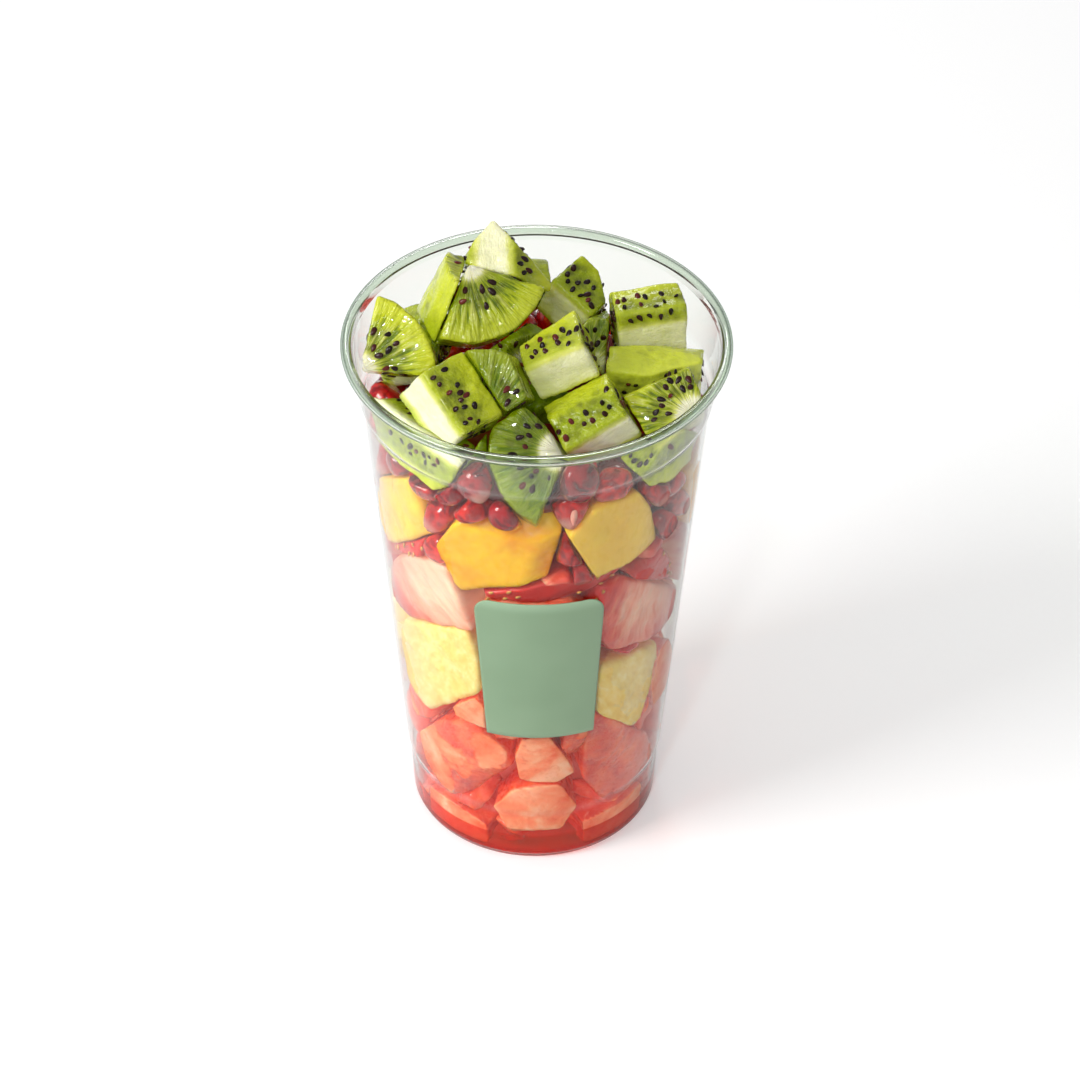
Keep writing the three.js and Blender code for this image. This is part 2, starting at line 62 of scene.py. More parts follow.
# ------------------------------------------------------------------ where the fruit lies
# Each kiwi piece, by its number: a point on its fruit's axis, the way out from it, the way along
# it, and how much darker its flesh is painted than most, or how much paler, below 0. The darkness
# is partly the flesh's own tone and partly painted shade on pieces that lie deep in the heap; the
# paleness is partly the flesh's own tone and partly painted light. Their order sets their random
# numbers.
KIWI = {
    17: ((-31, -29, 146), (-0.1, -0.1, -1), (0.68, -0.73, -0.1), 0),
    1: ((-18, 8.5, 168), (0.45, -0.58, -0.68), (0.1, -0.7, 0.7), 0.35),
    2: ((6.5, -18, 153), (-0.1, 1, -0.1), (0.9, 0.14, 0.4), -0.3),
    3: ((-27, -30.5, 150), (0.7, 0.7, -0.1), (0.55, -0.65, -0.55), -0.1),
    4: ((17.5, -30.5, 140.5), (-0.4, 0.9, 0.25), (0.8, 0.35, 0.5), 0.1),
    5: ((-11.5, 8.5, 173), (0.14, 0.62, -0.77), (0, 0.85, 0.6), -0.2),
    6: ((-44, -13, 150), (0.8, 0.38, 0.45), (0.1, -0.7, 0.7), 0),
    7: ((29.5, 1.5, 148.5), (-0.2, 1, 0), (0.95, 0.3, 0.05), -0.2),
    8: ((39, -23, 145.5), (-1, 0.1, 0), (-0.03, -0.65, 0.76), 0),
    9: ((29, -3, 134), (0.05, 0.05, 1), (1, -0.1, -0.1), -0.8),
    10: ((5.6, -29.5, 138.5), (-1, -0.15, -0.15), (0, -0.7, 0.7), 0.9),
    11: ((-13, -26.5, 144), (0.4, 0.6, 0.7), (0, -0.75, 0.65), 0.85),
    12: ((6, 12, 150), (0.6, 0.8, 0), (0.7, -0.55, -0.4), 0.2),
    13: ((-14, 5, 157), (-0.8, -0.4, 0.45), (0.5, 0.15, 0.85), -0.4),
    19: ((-3, -4, 147), (0.5, 0.35, 0.8), (0.7, -0.65, -0.2), 0.7),
    14: ((16, 3, 141), (0.3, 0.2, 0.9), (0.5, 0.8, -0.3), 0.6),
    15: ((-8, 24, 143), (0.1, 0.3, 0.95), (0.9, 0.1, 0), 0),
    16: ((-29, 4, 140), (-0.3, 0.1, 0.95), (0.2, 1, 0), 0),
    18: ((31, -26, 145), (0.1, -0.1, -1), (0.5, 0.85, 0), 0),
}
# Fruit against the wall, as outlines of [angle from the front, height] corners.
MANGO = [
    [[-37, 112], [-28, 122], [-2, 126], [4, 128], [9, 121], [6, 110], [4, 105], [-28, 99]],
    [[11, 122], [21, 129], [38, 129], [44, 122], [51, 107], [22, 105]],
    [[-72, 117], [-52, 127], [-45, 121], [-42, 112], [-66, 98], [-76, 101]],
    [[68, 122], [82, 126], [96, 118], [94, 104], [72, 102]],
    [[112, 120], [126, 127], [142, 120], [138, 104], [116, 103]],
    [[156, 122], [172, 128], [190, 122], [188, 106], [160, 103]],
    [[204, 118], [220, 126], [238, 120], [234, 104], [206, 101]],
]
STRAWBERRY = [
    [[-72, 76], [-70, 90], [-60, 97], [-44, 103], [-36, 103], [-30, 96], [-23, 86], [-40, 83], [-62, 74]],
    [[-74, 92], [-58, 103], [-51, 109], [-46, 109], [-47, 102], [-64, 95]],
    [[-20, 99], [3, 103.5], [12, 104], [36, 104.5], [36, 102], [12, 98], [-18, 96.5]],
    [[24, 100], [34, 101], [52, 92], [68, 83], [68, 74], [60, 70], [48, 72], [30, 76], [24, 84]],
    [[38, 104], [52, 105.5], [58, 98], [62, 90], [54, 92], [38, 100]],
    [[-20, 96], [-8, 99], [12, 98], [22, 94], [20, 80], [0, 75], [-18, 80]],
    [[78, 99], [92, 101], [106, 92], [104, 78], [84, 75], [76, 84]],
    [[112, 98], [128, 102], [148, 96], [146, 80], [126, 74], [110, 82]],
    [[154, 100], [172, 102], [188, 95], [190, 80], [170, 74], [156, 80]],
    [[196, 97], [212, 101], [230, 96], [232, 80], [214, 74], [198, 79]],
    [[238, 95], [252, 99], [272, 92], [270, 80], [252, 75], [240, 80]],
]
PINEAPPLE = [
    [[-66, 70], [-60, 76], [-42, 82], [-28, 85], [-22, 74], [-21, 64], [-36, 58], [-52, 44], [-66, 52]],
    [[26, 73], [46, 70], [60, 68], [56, 58], [53, 48], [51, 43], [46, 42], [26, 55]],
    [[-19, 72], [-2, 74], [22, 76], [23, 58], [10, 53], [-18, 55]],
    [[100, 72], [118, 74], [134, 70], [132, 52], [114, 48], [100, 54]],
    [[140, 70], [160, 74], [180, 70], [178, 50], [158, 46], [142, 52]],
    [[188, 72], [206, 74], [226, 70], [222, 52], [204, 47], [190, 54]],
    [[234, 72], [250, 74], [268, 70], [264, 54], [246, 50], [236, 56]],
]
WATERMELON = [
    [[-60, 33], [-45, 44], [-28, 50], [-12, 44], [-9, 37], [-20, 30], [-38, 16], [-56, 24]],
    [[-18, 20], [-10, 27], [0, 30], [12, 29], [20, 20], [14, 12], [-12, 11]],
    [[-8, 41], [-5, 48], [5, 50], [12, 42], [18, 34], [10, 31], [-6, 33]],
    [[24, 50], [27, 54], [40, 47], [52, 41], [60, 34], [66, 22], [50, 16], [26, 18], [22, 30]],
    [[-36, 56], [-24, 61], [-18, 56], [-16, 50], [-26, 51.5], [-34, 51]],
    [[55, 64], [66, 65], [80, 52], [74, 43], [60, 44], [56, 52]],
    [[-58, 13], [-40, 14], [-22, 11], [-22, 4], [-58, 4]],
    [[22, 15], [44, 14], [60, 14], [60, 4], [24, 4]],
    [[100, 44], [118, 46], [134, 42], [136, 26], [116, 22], [98, 28]],
    [[142, 44], [160, 45], [180, 42], [178, 22], [160, 18], [144, 24]],
    [[186, 44], [204, 46], [222, 42], [224, 26], [204, 20], [188, 24]],
    [[230, 46], [246, 48], [260, 42], [258, 28], [244, 24], [232, 30]],
    [[130, 14], [160, 18], [185, 14], [185, 4], [130, 4]],
]
WALL_FRUIT = {"mango": MANGO, "strawberry": STRAWBERRY, "pineapple": PINEAPPLE, "watermelon": WATERMELON}
# The side of each strawberry piece that is skin: how far round, out and up it faces, and the
# fruit's radius.
BERRY_SKIN = [
    (-0.45, 0, -0.85, 27), (-0.2, 0.9, 0.1, 22), (0, 1, -0.2, 22), (-0.9, 0.3, 0.1, 21), (0.2, 0.9, 0.2, 22),
    (0, 0.8, -0.4, 22), (0.2, 0.9, 0.3, 22), (-0.7, 0.1, 0.6, 25), (0.1, 0.9, -0.2, 22), (0.8, 0.2, 0.4, 24),
    (-0.3, 0.9, 0.1, 22),
]

# Smaller pieces behind the gaps between these, as rows of (height, how many, half their size).
FILLERS = {
    "strawberry": [(79, 8, 7.5), (95, 8, 7.5), (107, 9, 7)],
    "pineapple": [(56, 8, 6), (66, 8, 7)],
    "watermelon": [(7, 9, 6.5), (18, 9, 9), (32, 9, 9.5), (46, 10, 8)],
}
# Small kiwi pieces deep in the heap: the middle, and half the size.
KIWI_BITS = [
    ((-13.6, -28.5, 139), 5.5),
    ((0.6, -10, 138.5), 6),
    ((-20, -8, 140), 5.5),
    ((14, -12, 138.5), 6),
]
THINNEST = 4  # a piece that the others leave thinner than this is left out

# Pomegranate seeds that show against the wall, as (angle, height).
SEEDS_SEEN = [
    (-60, 127), (-44, 128), (-38, 119.5), (-40, 107), (-25, 134), (-23, 125), (-8, 128), (13, 129),
    (29, 132),
]
# Rows of them round the wall: height, first and last angle, step, depth in from the wall, and how
# much the row falls toward the back.
SEED_ROWS = [(121, 60, 300, 15, 5.5, 0), (129, -72, 288, 13, 5.5, 0.06), (135, -66, 294, 14, 6.5, 0.12)]
# Rings of them on the heap: radius, height and how many. The heap is lower at the back.
SEED_RINGS = [(35, 137, 19), (27, 139, 15), (18, 141, 11), (9, 142, 6)]
HEAP_TILT = 0.12
SEED_HALF = np.array([5.2, 4.6, 6.6])
SEED_APART = 8.4  # from the middle of one to the middle of the next
# Where more are tried in the gaps, and how near they may be to others.
SEED_GAPS = {"low": 107, "high": 143, "rise": 3, "turn": 7, "depths": (4.4, 10)}
SEED_GAPS_APART = 7.2
SEED_CLEAR = 1.2  # how far a seed's middle keeps from the cut fruit
SEED_MEETS = {"seed": 14, "fruit": 9}  # how near the middle of another seed, or cut fruit, flattens one
SEED_FACETS = 6  # and how many flat places it has of its own
SEED_POWER = 12  # how crisp the edges between these are
# Outside KIWI_INNER, kiwi alone fills the cup above this height, from one angle to the other.
KIWI_ONLY = (137.5, -52, 115)
KIWI_INNER = 22
# The seeds also end at a height that falls toward the right and the back.
SEEDS_BELOW = 138.5
SEEDS_FALL = np.array([0.12, 0.22])
# Further back than this, a last layer of seeds lies on the heap at its height there.
SEED_LID = {"from": 2, "apart": 8.0}
FLOOR = 3.2  # nothing in the cup lies below this height
MOST_CUTS = 14  # which keep one piece inside the wall
# How far outward the pale pip lies in a few of the seeds, by their number.
PIP_SHOWS = {5: 3.4, 2: 2.2, 7: 1.5}

# Each layer's core, as (radius, height) up its side.
CORES = {
    "watermelon": [(20, 3.4), (24, 8), (25, 30), (26, 49)],
    "pineapple": [(26, 49.4), (26, 72)],
    "strawberry": [(26, 72.4), (26, 100)],
    "mango": [(26, 100.4), (26, 119)],
    "pomegranate": [(31, 119.4), (36, 126), (35, 131), (24, 135), (6, 138)],
}


# ------------------------------------------------------------------ convex pieces
# Each piece has random numbers of its own: its number is added to its kind's.
RANDOM = {
    "kiwi": 100, "kiwi_bit": 30, "mango": 300, "pineapple": 400, "strawberry": 500, "seed": 700,
    "strawberry_bit": 900, "pineapple_bit": 900, "watermelon_bit": 900,
}


def own_random(kind, number):
    return np.random.default_rng(RANDOM[kind] + number)


# A piece's sides are planes, one row each: a unit normal, and how far out along it.
def unit(v):
    v = np.asarray(v, float)
    return v / np.linalg.norm(v)


def level_out(point):
    """The level way from the cup's axis out through a point."""
    return unit([point[0], point[1], 0])


def outer_radius(z):
    return np.interp(z, WALL[:, 0], WALL[:, 1])


def inner_radius(z):
    return outer_radius(z) - SHEET


def beside(angle, z, depth=GAP):
    """A point beside the wall, a depth inside it."""
    r = inner_radius(z) - depth
    a = math.radians(angle)
    return np.array([r * math.sin(a), -r * math.cos(a), z])


def plane(normal, point):
    n = unit(normal)
    return np.append(n, n @ point)


def corners_of(planes):
    triples = np.array(list(combinations(range(len(planes)), 3)))
    normals = planes[triples, :3]
    reach = planes[triples, 3]
    real = np.abs(np.linalg.det(normals)) > 1e-6
    points = np.linalg.solve(normals[real], reach[real][..., None])[..., 0]
    points = points[(points @ planes[:, :3].T <= planes[:, 3] + 1e-4).all(1)]
    kept = []
    for p in points:
        if all(np.linalg.norm(p - q) > 0.02 for q in kept):
            kept.append(p)
    return np.array(kept).reshape(-1, 3)


def hull_planes(points):
    """The planes of the faces round these points."""
    triples = np.array(list(combinations(range(len(points)), 3)))
    a, b, c = (points[triples[:, k]] for k in range(3))
    normals = np.cross(b - a, c - a)
    size = np.linalg.norm(normals, axis=1)
    solid = size > 1e-6
    normals = normals[solid] / size[solid, None]
    found = []
    for n, p in zip(np.vstack([normals, -normals]), np.vstack([a[solid], a[solid]])):
        d = n @ p
        if (points @ n <= d + 1e-4).all():
            if all(n @ f[:3] < 0.9993 or abs(f[3] - d) > 0.05 for f in found):
                found.append(np.append(n, d))
    return np.array(found)


def wall_piece(outline, deep=21, narrowing=0.72):
    """Fruit pressed against the wall: its outline there, and the same drawn in further inside."""
    face = np.array([beside(angle, z) for angle, z in outline])
    middle = face.mean(0)
    inward = -level_out(middle)
    face += FLATNESS * np.outer((face @ inward).max() - face @ inward, inward)
    middle = middle + deep * inward
    back = middle + narrowing * (face + deep * inward - middle)
    return hull_planes(np.vstack([face, back]))


def keep_inside(planes):
    """Cuts off what would stand outside the wall or below the floor, by planes that touch them."""
    highest = WALL[-1, 0]
    if corners_of(planes)[:, 2].min() < FLOOR:
        planes = np.vstack([planes, plane((0, 0, -1), (0, 0, FLOOR))])
    for _ in range(MOST_CUTS):
        corners = corners_of(planes)
        heights = np.minimum(corners[:, 2], highest)
        over = np.hypot(corners[:, 0], corners[:, 1]) - inner_radius(heights) + GAP
        worst = corners[over.argmax()]
        if over.max() < 0.05:
            break
        z = min(worst[2], highest)
        out = level_out(worst)
        touch = out * (inner_radius(z) - GAP)
        touch[2] = z
        out[2] = 0 if worst[2] > highest else -WALL_LEAN
        planes = np.vstack([planes, plane(out, touch)])
    return planes


def separate(pieces):
    """Where two pieces would run into each other, the later one is cut flat beside the other."""
    for j, later in enumerate(pieces):
        if later["fixed"]:
            continue
        for first in pieces[:j]:
            if len(later["corners"]) < 4 or len(first["corners"]) < 4:
                continue
            bite = first["planes"][:, 3] + GAP - (later["corners"] @ first["planes"][:, :3].T).min(0)
            back = later["planes"][:, 3] + GAP - (first["corners"] @ later["planes"][:, :3].T).min(0)
            if bite.min() <= 1e-3 or back.min() <= 1e-3:
                continue
            if later["kind"].endswith("_bit"):
                out = level_out(first["corners"].mean(0))
                bite[first["planes"][:, :3] @ out > 0.5] = np.inf
            cut = first["planes"][bite.argmin()]
            flat = np.append(-cut[:3], -(cut[3] + GAP))
            later["planes"] = np.vstack([later["planes"], flat])
            later["corners"] = corners_of(later["planes"])
    return [piece for piece in pieces if len(piece["corners"]) >= 6]


def node_points(name):
    """A CAD node's vertices, in mm."""
    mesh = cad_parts[name].data
    points = np.empty(len(mesh.vertices) * 3)
    mesh.vertices.foreach_get("co", points)
    return points.reshape(-1, 3) / MM


def frame_from(x, up):
    """Three axes as rows: x, then up made square to it, then the third."""
    x = unit(x)
    up = np.asarray(up, float)
    up = up - (up @ x) * x
    if np.linalg.norm(up) < 1e-6:
        up = np.cross(x, [0.3, 0.5, 0.8])
    up = unit(up)
    return np.array([x, np.cross(up, x), up])


def new_piece(kind, number, planes, corners=None):
    """A piece of one kind. One that comes with its corners is the CAD's own, and stays as it is."""
    fixed = corners is not None
    if not fixed:
        planes = keep_inside(planes)
        corners = corners_of(planes)
    return {"kind": kind, "i": number, "planes": planes, "corners": corners, "fixed": fixed}


def of_kind(pieces, kind):
    return [piece for piece in pieces if piece["kind"] == kind]


def block_sides(middle, half, sides, rng, least):
    """The planes of a small block, each at its own distance from the middle."""
    return np.array([plane(n, middle + unit(n) * half * rng.uniform(least, 1.1)) for n in sides])


def all_pieces():
    pieces = []
    for number in KIWI:
        points = node_points(f"kiwi_{number:02d}")
        pieces.append(new_piece("kiwi", number, hull_planes(np.unique(points.round(3), axis=0)), points))
    for kind, outlines in WALL_FRUIT.items():
        pieces += [new_piece(kind, i, wall_piece(outline)) for i, outline in enumerate(outlines)]
    for k, (middle, half) in enumerate(KIWI_BITS):
        rng = own_random("kiwi_bit", k)
        axes = frame_from(rng.normal(size=3), rng.normal(size=3))
        pieces.append(new_piece("kiwi_bit", k, block_sides(middle, half, (*axes, *-axes), rng, 0.8)))
    for kind, rows in FILLERS.items():
        rng = np.random.default_rng(len(kind))
        for z, count, half in rows:
            for k in range(count):
                angle = 360 * (k + rng.uniform(-0.25, 0.25)) / count + 9 * z
                middle = beside(angle, z + rng.uniform(-2, 2), half + rng.uniform(-1, 1.5))
                if any(np.linalg.norm(middle - beside(*seen, 5)) < half + 4 for seen in SEEDS_SEEN):
                    continue
                axes = frame_from(rng.normal(size=3), rng.normal(size=3))
                sides = np.vstack([axes, -axes, level_out(middle) + 0.3 * rng.normal(size=3)])
                planes = block_sides(middle, half, sides, rng, 0.75)
                pieces.append(new_piece(f"{kind}_bit", len(pieces), planes))
    return [piece for piece in separate(pieces) if np.ptp(piece["corners"], axis=0).min() > THINNEST]


# ------------------------------------------------------------------ rounded meshes
# How crisp the edges of each kind are, how many cells its mesh has along a side, and how far its
# side at the wall would bulge past the wall.
SHAPES = {
    "kiwi": (34, 28, 0),
    "kiwi_bit": (24, 14, 0),
    "mango": (30, 26, 1.6),
    "pineapple": (18, 30, 2.2),
    "pineapple_bit": (18, 12, 0.6),
    "strawberry": (18, 28, 2.2),
    "strawberry_bit": (12, 12, 0.6),
    "watermelon": (30, 28, 3.4),
    "watermelon_bit": (20, 12, 0.6),
}
# The watermelon pieces that bulge less, by their number.
MELON_BULGE = {3: 1.6, 4: 2.4}
# The unevenness of each kind's surface: waves of a height, a length, and a random seed to add to
# the piece's number.
WAVES = {
    "kiwi": [(0.22, 7, 0), (0.06, 2.2, 50)],
    "kiwi_bit": [(0.2, 6, 0)],
    "mango": [(0.2, 10, 0), (0.06, 2.5, 60)],
    "pineapple": [(0.35, 9, 0)],
    "pineapple_bit": [(0.4, 6, 0)],
    "strawberry": [(0.3, 8, 0), (0.08, 2.2, 40)],
    "strawberry_bit": [(0.35, 6, 0)],
    "watermelon": [(0.35, 12, 0), (0.06, 1.8, 30)],
    "watermelon_bit": [(0.45, 6, 0)],
}


def ripple(points, wavelength, seed, waves=12):
    """Smooth noise from -1 to 1: waves of about one length, running every way."""
    rng = np.random.default_rng(seed)
    ways = rng.normal(size=(waves, 3))
    ways *= (TURN / wavelength * rng.uniform(0.6, 1.5, waves) / np.linalg.norm(ways, axis=1))[:, None]
    return np.sin(points @ ways.T + rng.uniform(0, TURN, waves)).sum(1) / math.sqrt(waves)


BALLS = {}  # each made once


def ball(cells):
    """Directions over a sphere from a cube's grid, and its quads."""
    if cells not in BALLS:
        steps = np.tan(np.linspace(-1, 1, cells + 1) * math.pi / 4)
        u, v = (g.ravel() for g in np.meshgrid(steps, steps, indexing="ij"))
        one = np.ones_like(u)
        points, quads = [], []
        cell = np.arange(cells * cells)
        low = cell // cells * (cells + 1) + cell % cells
        square = np.stack([low, low + cells + 1, low + cells + 2, low + 1], 1)
        for axis in range(3):
            for side in (1, -1):
                face = np.empty((len(u), 3))
                face[:, axis] = side * one
                face[:, (axis + 1) % 3] = u
                face[:, (axis + 2) % 3] = v
                quads.append((square if side > 0 else square[:, ::-1]) + len(u) * len(points))
                points.append(face)
        points = np.vstack(points)
        points /= np.linalg.norm(points, axis=1)[:, None]
        points, again = np.unique(points.round(6), axis=0, return_inverse=True)
        BALLS[cells] = points, again.ravel()[np.vstack(quads)]
    return BALLS[cells]


def rounded(planes, corners, power, cells, other=None):
    """A piece's surface with its edges rounded: the higher the power, the crisper they are.
    other gives, for a centre and directions, how far a further surface lies."""
    centre = corners.mean(0)
    dirs, quads = ball(cells)
    dirs = dirs * np.ptp(corners, axis=0) ** 0.7
    dirs = dirs / np.linalg.norm(dirs, axis=1)[:, None]
    reach = planes[:, 3] - planes[:, :3] @ centre
    share = (np.maximum(dirs @ planes[:, :3].T / reach, 0) ** power).sum(1)
    if other is not None:
        share += other(centre, dirs) ** -power
    radius = share ** (-1 / power)
    return centre + dirs * radius[:, None], quads, dirs


def press(points, into=0.08):
    """Fruit that would stand outside the wall lies flat along it."""
    r = np.hypot(points[:, 0], points[:, 1])
    scale = np.minimum(1, (inner_radius(points[:, 2]) + into) / np.maximum(r, 1e-6))
    points[:, :2] *= scale[:, None]
    return points


def touching(points):
    """From 0 to 1: how firmly each point lies on the wall, before it is pressed flat."""
    over = np.hypot(points[:, 0], points[:, 1]) - inner_radius(points[:, 2])
    return np.clip(over / 0.5 + 0.4, 0, 1)


def loosen(piece, bulge):
    """The piece's planes, with the side at the wall moved outward, so that it presses on it."""
    planes = piece["planes"].copy()
    out = level_out(piece["corners"].mean(0))
    planes[:, 3] += np.where(planes[:, :3] @ out > 0.75, bulge, 0)
    return planes


def chamfered(planes, piece):
    """One more cut, which takes the right side of the piece back from the wall."""
    middle = piece["corners"].mean(0)
    out = level_out(middle)
    across = np.array([-out[1], out[0], 0])
    slant = unit(out + 0.55 * across - 0.12 * np.array([0, 0, 1]))
    reach = ((piece["corners"] - middle) @ slant).max()
    return np.vstack([planes, plane(slant, middle + slant * (reach - 1.6))])


def shaped(piece, skin=None):
    """A piece's rounded mesh, and the way out from its middle to each point."""
    kind = piece["kind"]
    power, cells, bulge = SHAPES[kind]
    if kind == "watermelon":
        bulge = MELON_BULGE.get(piece["i"], bulge)
    planes = loosen(piece, bulge)
    if kind == "mango":
        planes = chamfered(planes, piece)
    return rounded(planes, piece["corners"], power, cells, skin)


def uneven(piece, points, number=None):
    """How far the piece stands out or in at each point."""
    number = piece["i"] if number is None else number
    return sum(high * ripple(points, long, number + seed) for high, long, seed in WAVES[piece["kind"]])


def per_point(numbers, count):
    """A number or vector for each point. One that is the same for all may be given just once."""
    numbers = np.asarray(numbers, np.float32)
    if numbers.shape[:1] == (count,):
        return numbers
    return np.broadcast_to(numbers, (count, *numbers.shape))


def make_object(name, points, quads, material, replaced=(), slot=None, values=None):
    """A smooth mesh from points in mm; values holds what per_point takes."""
    mesh = bpy.data.meshes.new(name)
    mesh.vertices.add(len(points))
    mesh.vertices.foreach_set("co", (np.asarray(points) * MM).ravel())
    per = quads.shape[1]
    mesh.loops.add(quads.size)
    mesh.loops.foreach_set("vertex_index", quads.ravel().astype(np.int32))
    mesh.polygons.add(len(quads))
    mesh.polygons.foreach_set("loop_start", np.arange(0, quads.size, per, dtype=np.int32))
    mesh.polygons.foreach_set("use_smooth", np.ones(len(quads), bool))
    mesh.update(calc_edges=True)
    for key, numbers in (values or {}).items():
        numbers = per_point(numbers, len(points))
        vector = numbers.ndim == 2
        layer = mesh.attributes.new(key, "FLOAT_VECTOR" if vector else "FLOAT", "POINT")
        layer.data.foreach_set("vector" if vector else "value", numbers.ravel())
    mesh.validate()
    mesh.materials.append(material)
    obj = bpy.data.objects.new(name, mesh)
    bpy.context.scene.collection.objects.link(obj)
    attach(obj, "root")
    if replaced:
        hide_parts(*replaced)
    return obj


class Heap:
    """Meshes of one kind gathered into one object."""

    def __init__(self):
        self.points, self.quads, self.values, self.count = [], [], {}, 0

    def add(self, points, quads, **values):
        self.quads.append(quads + self.count)
        self.points.append(points)
        self.count += len(points)
        for key, numbers in values.items():
            self.values.setdefault(key, []).append(per_point(numbers, len(points)))

    def object(self, name, material, **how):
        values = {key: np.concatenate(parts) for key, parts in self.values.items()}
        points, quads = np.vstack(self.points), np.vstack(self.quads)
        return make_object(name, points, quads, material, values=values, **how)


# ------------------------------------------------------------------ materials
def srgb(r, g, b):
    """A colour from 0 to 255 as the eye reads it, as the linear numbers Blender wants."""
    shares = (r / 255, g / 255, b / 255)
    return tuple(c / 12.92 if c <= 0.04045 else ((c + 0.055) / 1.055) ** 2.4 for c in shares)


class Look:
    """A node material round one Principled shader, with short ways to add nodes."""

    def __init__(self, name, **surface):
        self.material = bpy.data.materials.new(name)
        self.material.use_nodes = True
        self.tree = self.material.node_tree
        self.shader = self.tree.nodes["Principled BSDF"]
        for key, value in surface.items():
            self.shader.inputs[key.replace("_", " ")].default_value = value

    def feed(self, socket, value):
        if isinstance(value, bpy.types.NodeSocket):
            self.tree.links.new(value, socket)
        elif socket.type == "RGBA":
            socket.default_value = (*value, 1)
        else:
            socket.default_value = value

    def set(self, key, value):
        self.feed(self.shader.inputs[key], value)

    def node(self, kind, **settings):
        made = self.tree.nodes.new("ShaderNode" + kind)
        for key, value in settings.items():
            setattr(made, key, value)
        return made

    def attribute(self, name, output="Vector"):
        return self.node("Attribute", attribute_name=name).outputs[output]

    def number(self, name):
        return self.attribute(name, "Fac")

    def math(self, operation, a, b=0.0, clamp=False):
        made = self.node("Math", operation=operation, use_clamp=clamp)
        self.feed(made.inputs[0], a)
        self.feed(made.inputs[1], b)
        return made.outputs[0]

    def times(self, a, b, clamp=False):
        return self.math("MULTIPLY", a, b, clamp)

    def length(self, a, b):
        return self.math("SQRT", self.math("ADD", self.times(a, a), self.times(b, b)))

    def mix(self, share, a, b):
        made = self.node("Mix", data_type="RGBA")
        self.feed(made.inputs["Factor"], share)
        self.feed(made.inputs[6], a)
        self.feed(made.inputs[7], b)
        return made.outputs[2]

    def paint(self, share, *rgb):
        """Lays one more colour over the base colour."""
        self.colour = self.mix(share, self.colour, srgb(*rgb))

    def span(self, value, low, high, to_low=0.0, to_high=1.0):
        made = self.node("MapRange", interpolation_type="SMOOTHSTEP")
        for socket, number in zip(made.inputs[:5], (value, low, high, to_low, to_high)):
            self.feed(socket, number)
        return made.outputs[0]

    def noise(self, scale, detail=2.0, roughness=0.5, distortion=0.0, at=None):
        made = self.node("TexNoise")
        self.feed(made.inputs["Vector"], self.place() if at is None else at)
        numbers = {"Scale": scale, "Detail": detail, "Roughness": roughness, "Distortion": distortion}
        for key, number in numbers.items():
            made.inputs[key].default_value = number
        return made.outputs["Fac"]

    def cells(self, scale):
        made = self.node("TexVoronoi", feature="F1")
        self.feed(made.inputs["Vector"], self.place())
        made.inputs["Scale"].default_value = scale
        return made.outputs["Distance"]

    def ramp(self, value, *stops):
        """A colour band; each stop is a place from 0 to 1 and a colour."""
        made = self.node("ValToRGB")
        band = made.color_ramp.elements
        while len(band) < len(stops):
            band.new(0.5)
        for element, (place, *rgb) in zip(band, stops):
            element.position = place
            element.color = (*srgb(*rgb), 1)
        self.feed(made.inputs[0], value)
        return made.outputs[0]

    def split(self, vector):
        made = self.node("SeparateXYZ")
        self.feed(made.inputs[0], vector)
        return made.outputs

    def join(self, x, y, z):
        made = self.node("CombineXYZ")
        for socket, value in zip(made.inputs, (x, y, z)):
            self.feed(socket, value)
        return made.outputs[0]

    def fibres(self, along, scale, roughness):
        """Noise drawn out along a piece's own grain."""
        x, y, z = self.split(self.attribute("grain"))
        return self.noise(scale, 3.0, roughness, at=self.join(self.times(x, along), y, z))

    def place(self):
        return self.node("TexCoord").outputs["Object"]

    def bump(self, height, strength, distance):
        made = self.node("Bump")
        made.inputs["Strength"].default_value = strength
        made.inputs["Distance"].default_value = distance * MM
        before = self.shader.inputs["Normal"].links
        if before:
            self.feed(made.inputs["Normal"], before[0].from_socket)
        self.feed(made.inputs["Height"], height)
        self.set("Normal", made.outputs[0])

    def wet(self, coat=0.5, blur=0.06):
        self.set("Coat Weight", coat)
        self.set("Coat Roughness", blur)
        self.set("Coat IOR", 1.35)

    def glow(self, weight, radius, scale):
        """Light that goes into the flesh and comes out beside."""
        self.set("Subsurface Weight", weight)
        self.shader.inputs["Subsurface Radius"].default_value = radius
        self.set("Subsurface Scale", scale * MM)

    def let_light_in(self, tint):
        """Lamps shine through: their rays meet a clear film in place of the glass."""
        film = self.node("BsdfTransparent")
        film.inputs[0].default_value = (*tint, 1)
        path = self.node("LightPath")
        both = self.node("MixShader")
        parts = (path.outputs["Is Shadow Ray"], self.shader.outputs[0], film.outputs[0])
        for socket, part in zip(both.inputs, parts):
            self.tree.links.new(part, socket)
        self.tree.links.new(both.outputs[0], self.tree.nodes["Material Output"].inputs["Surface"])


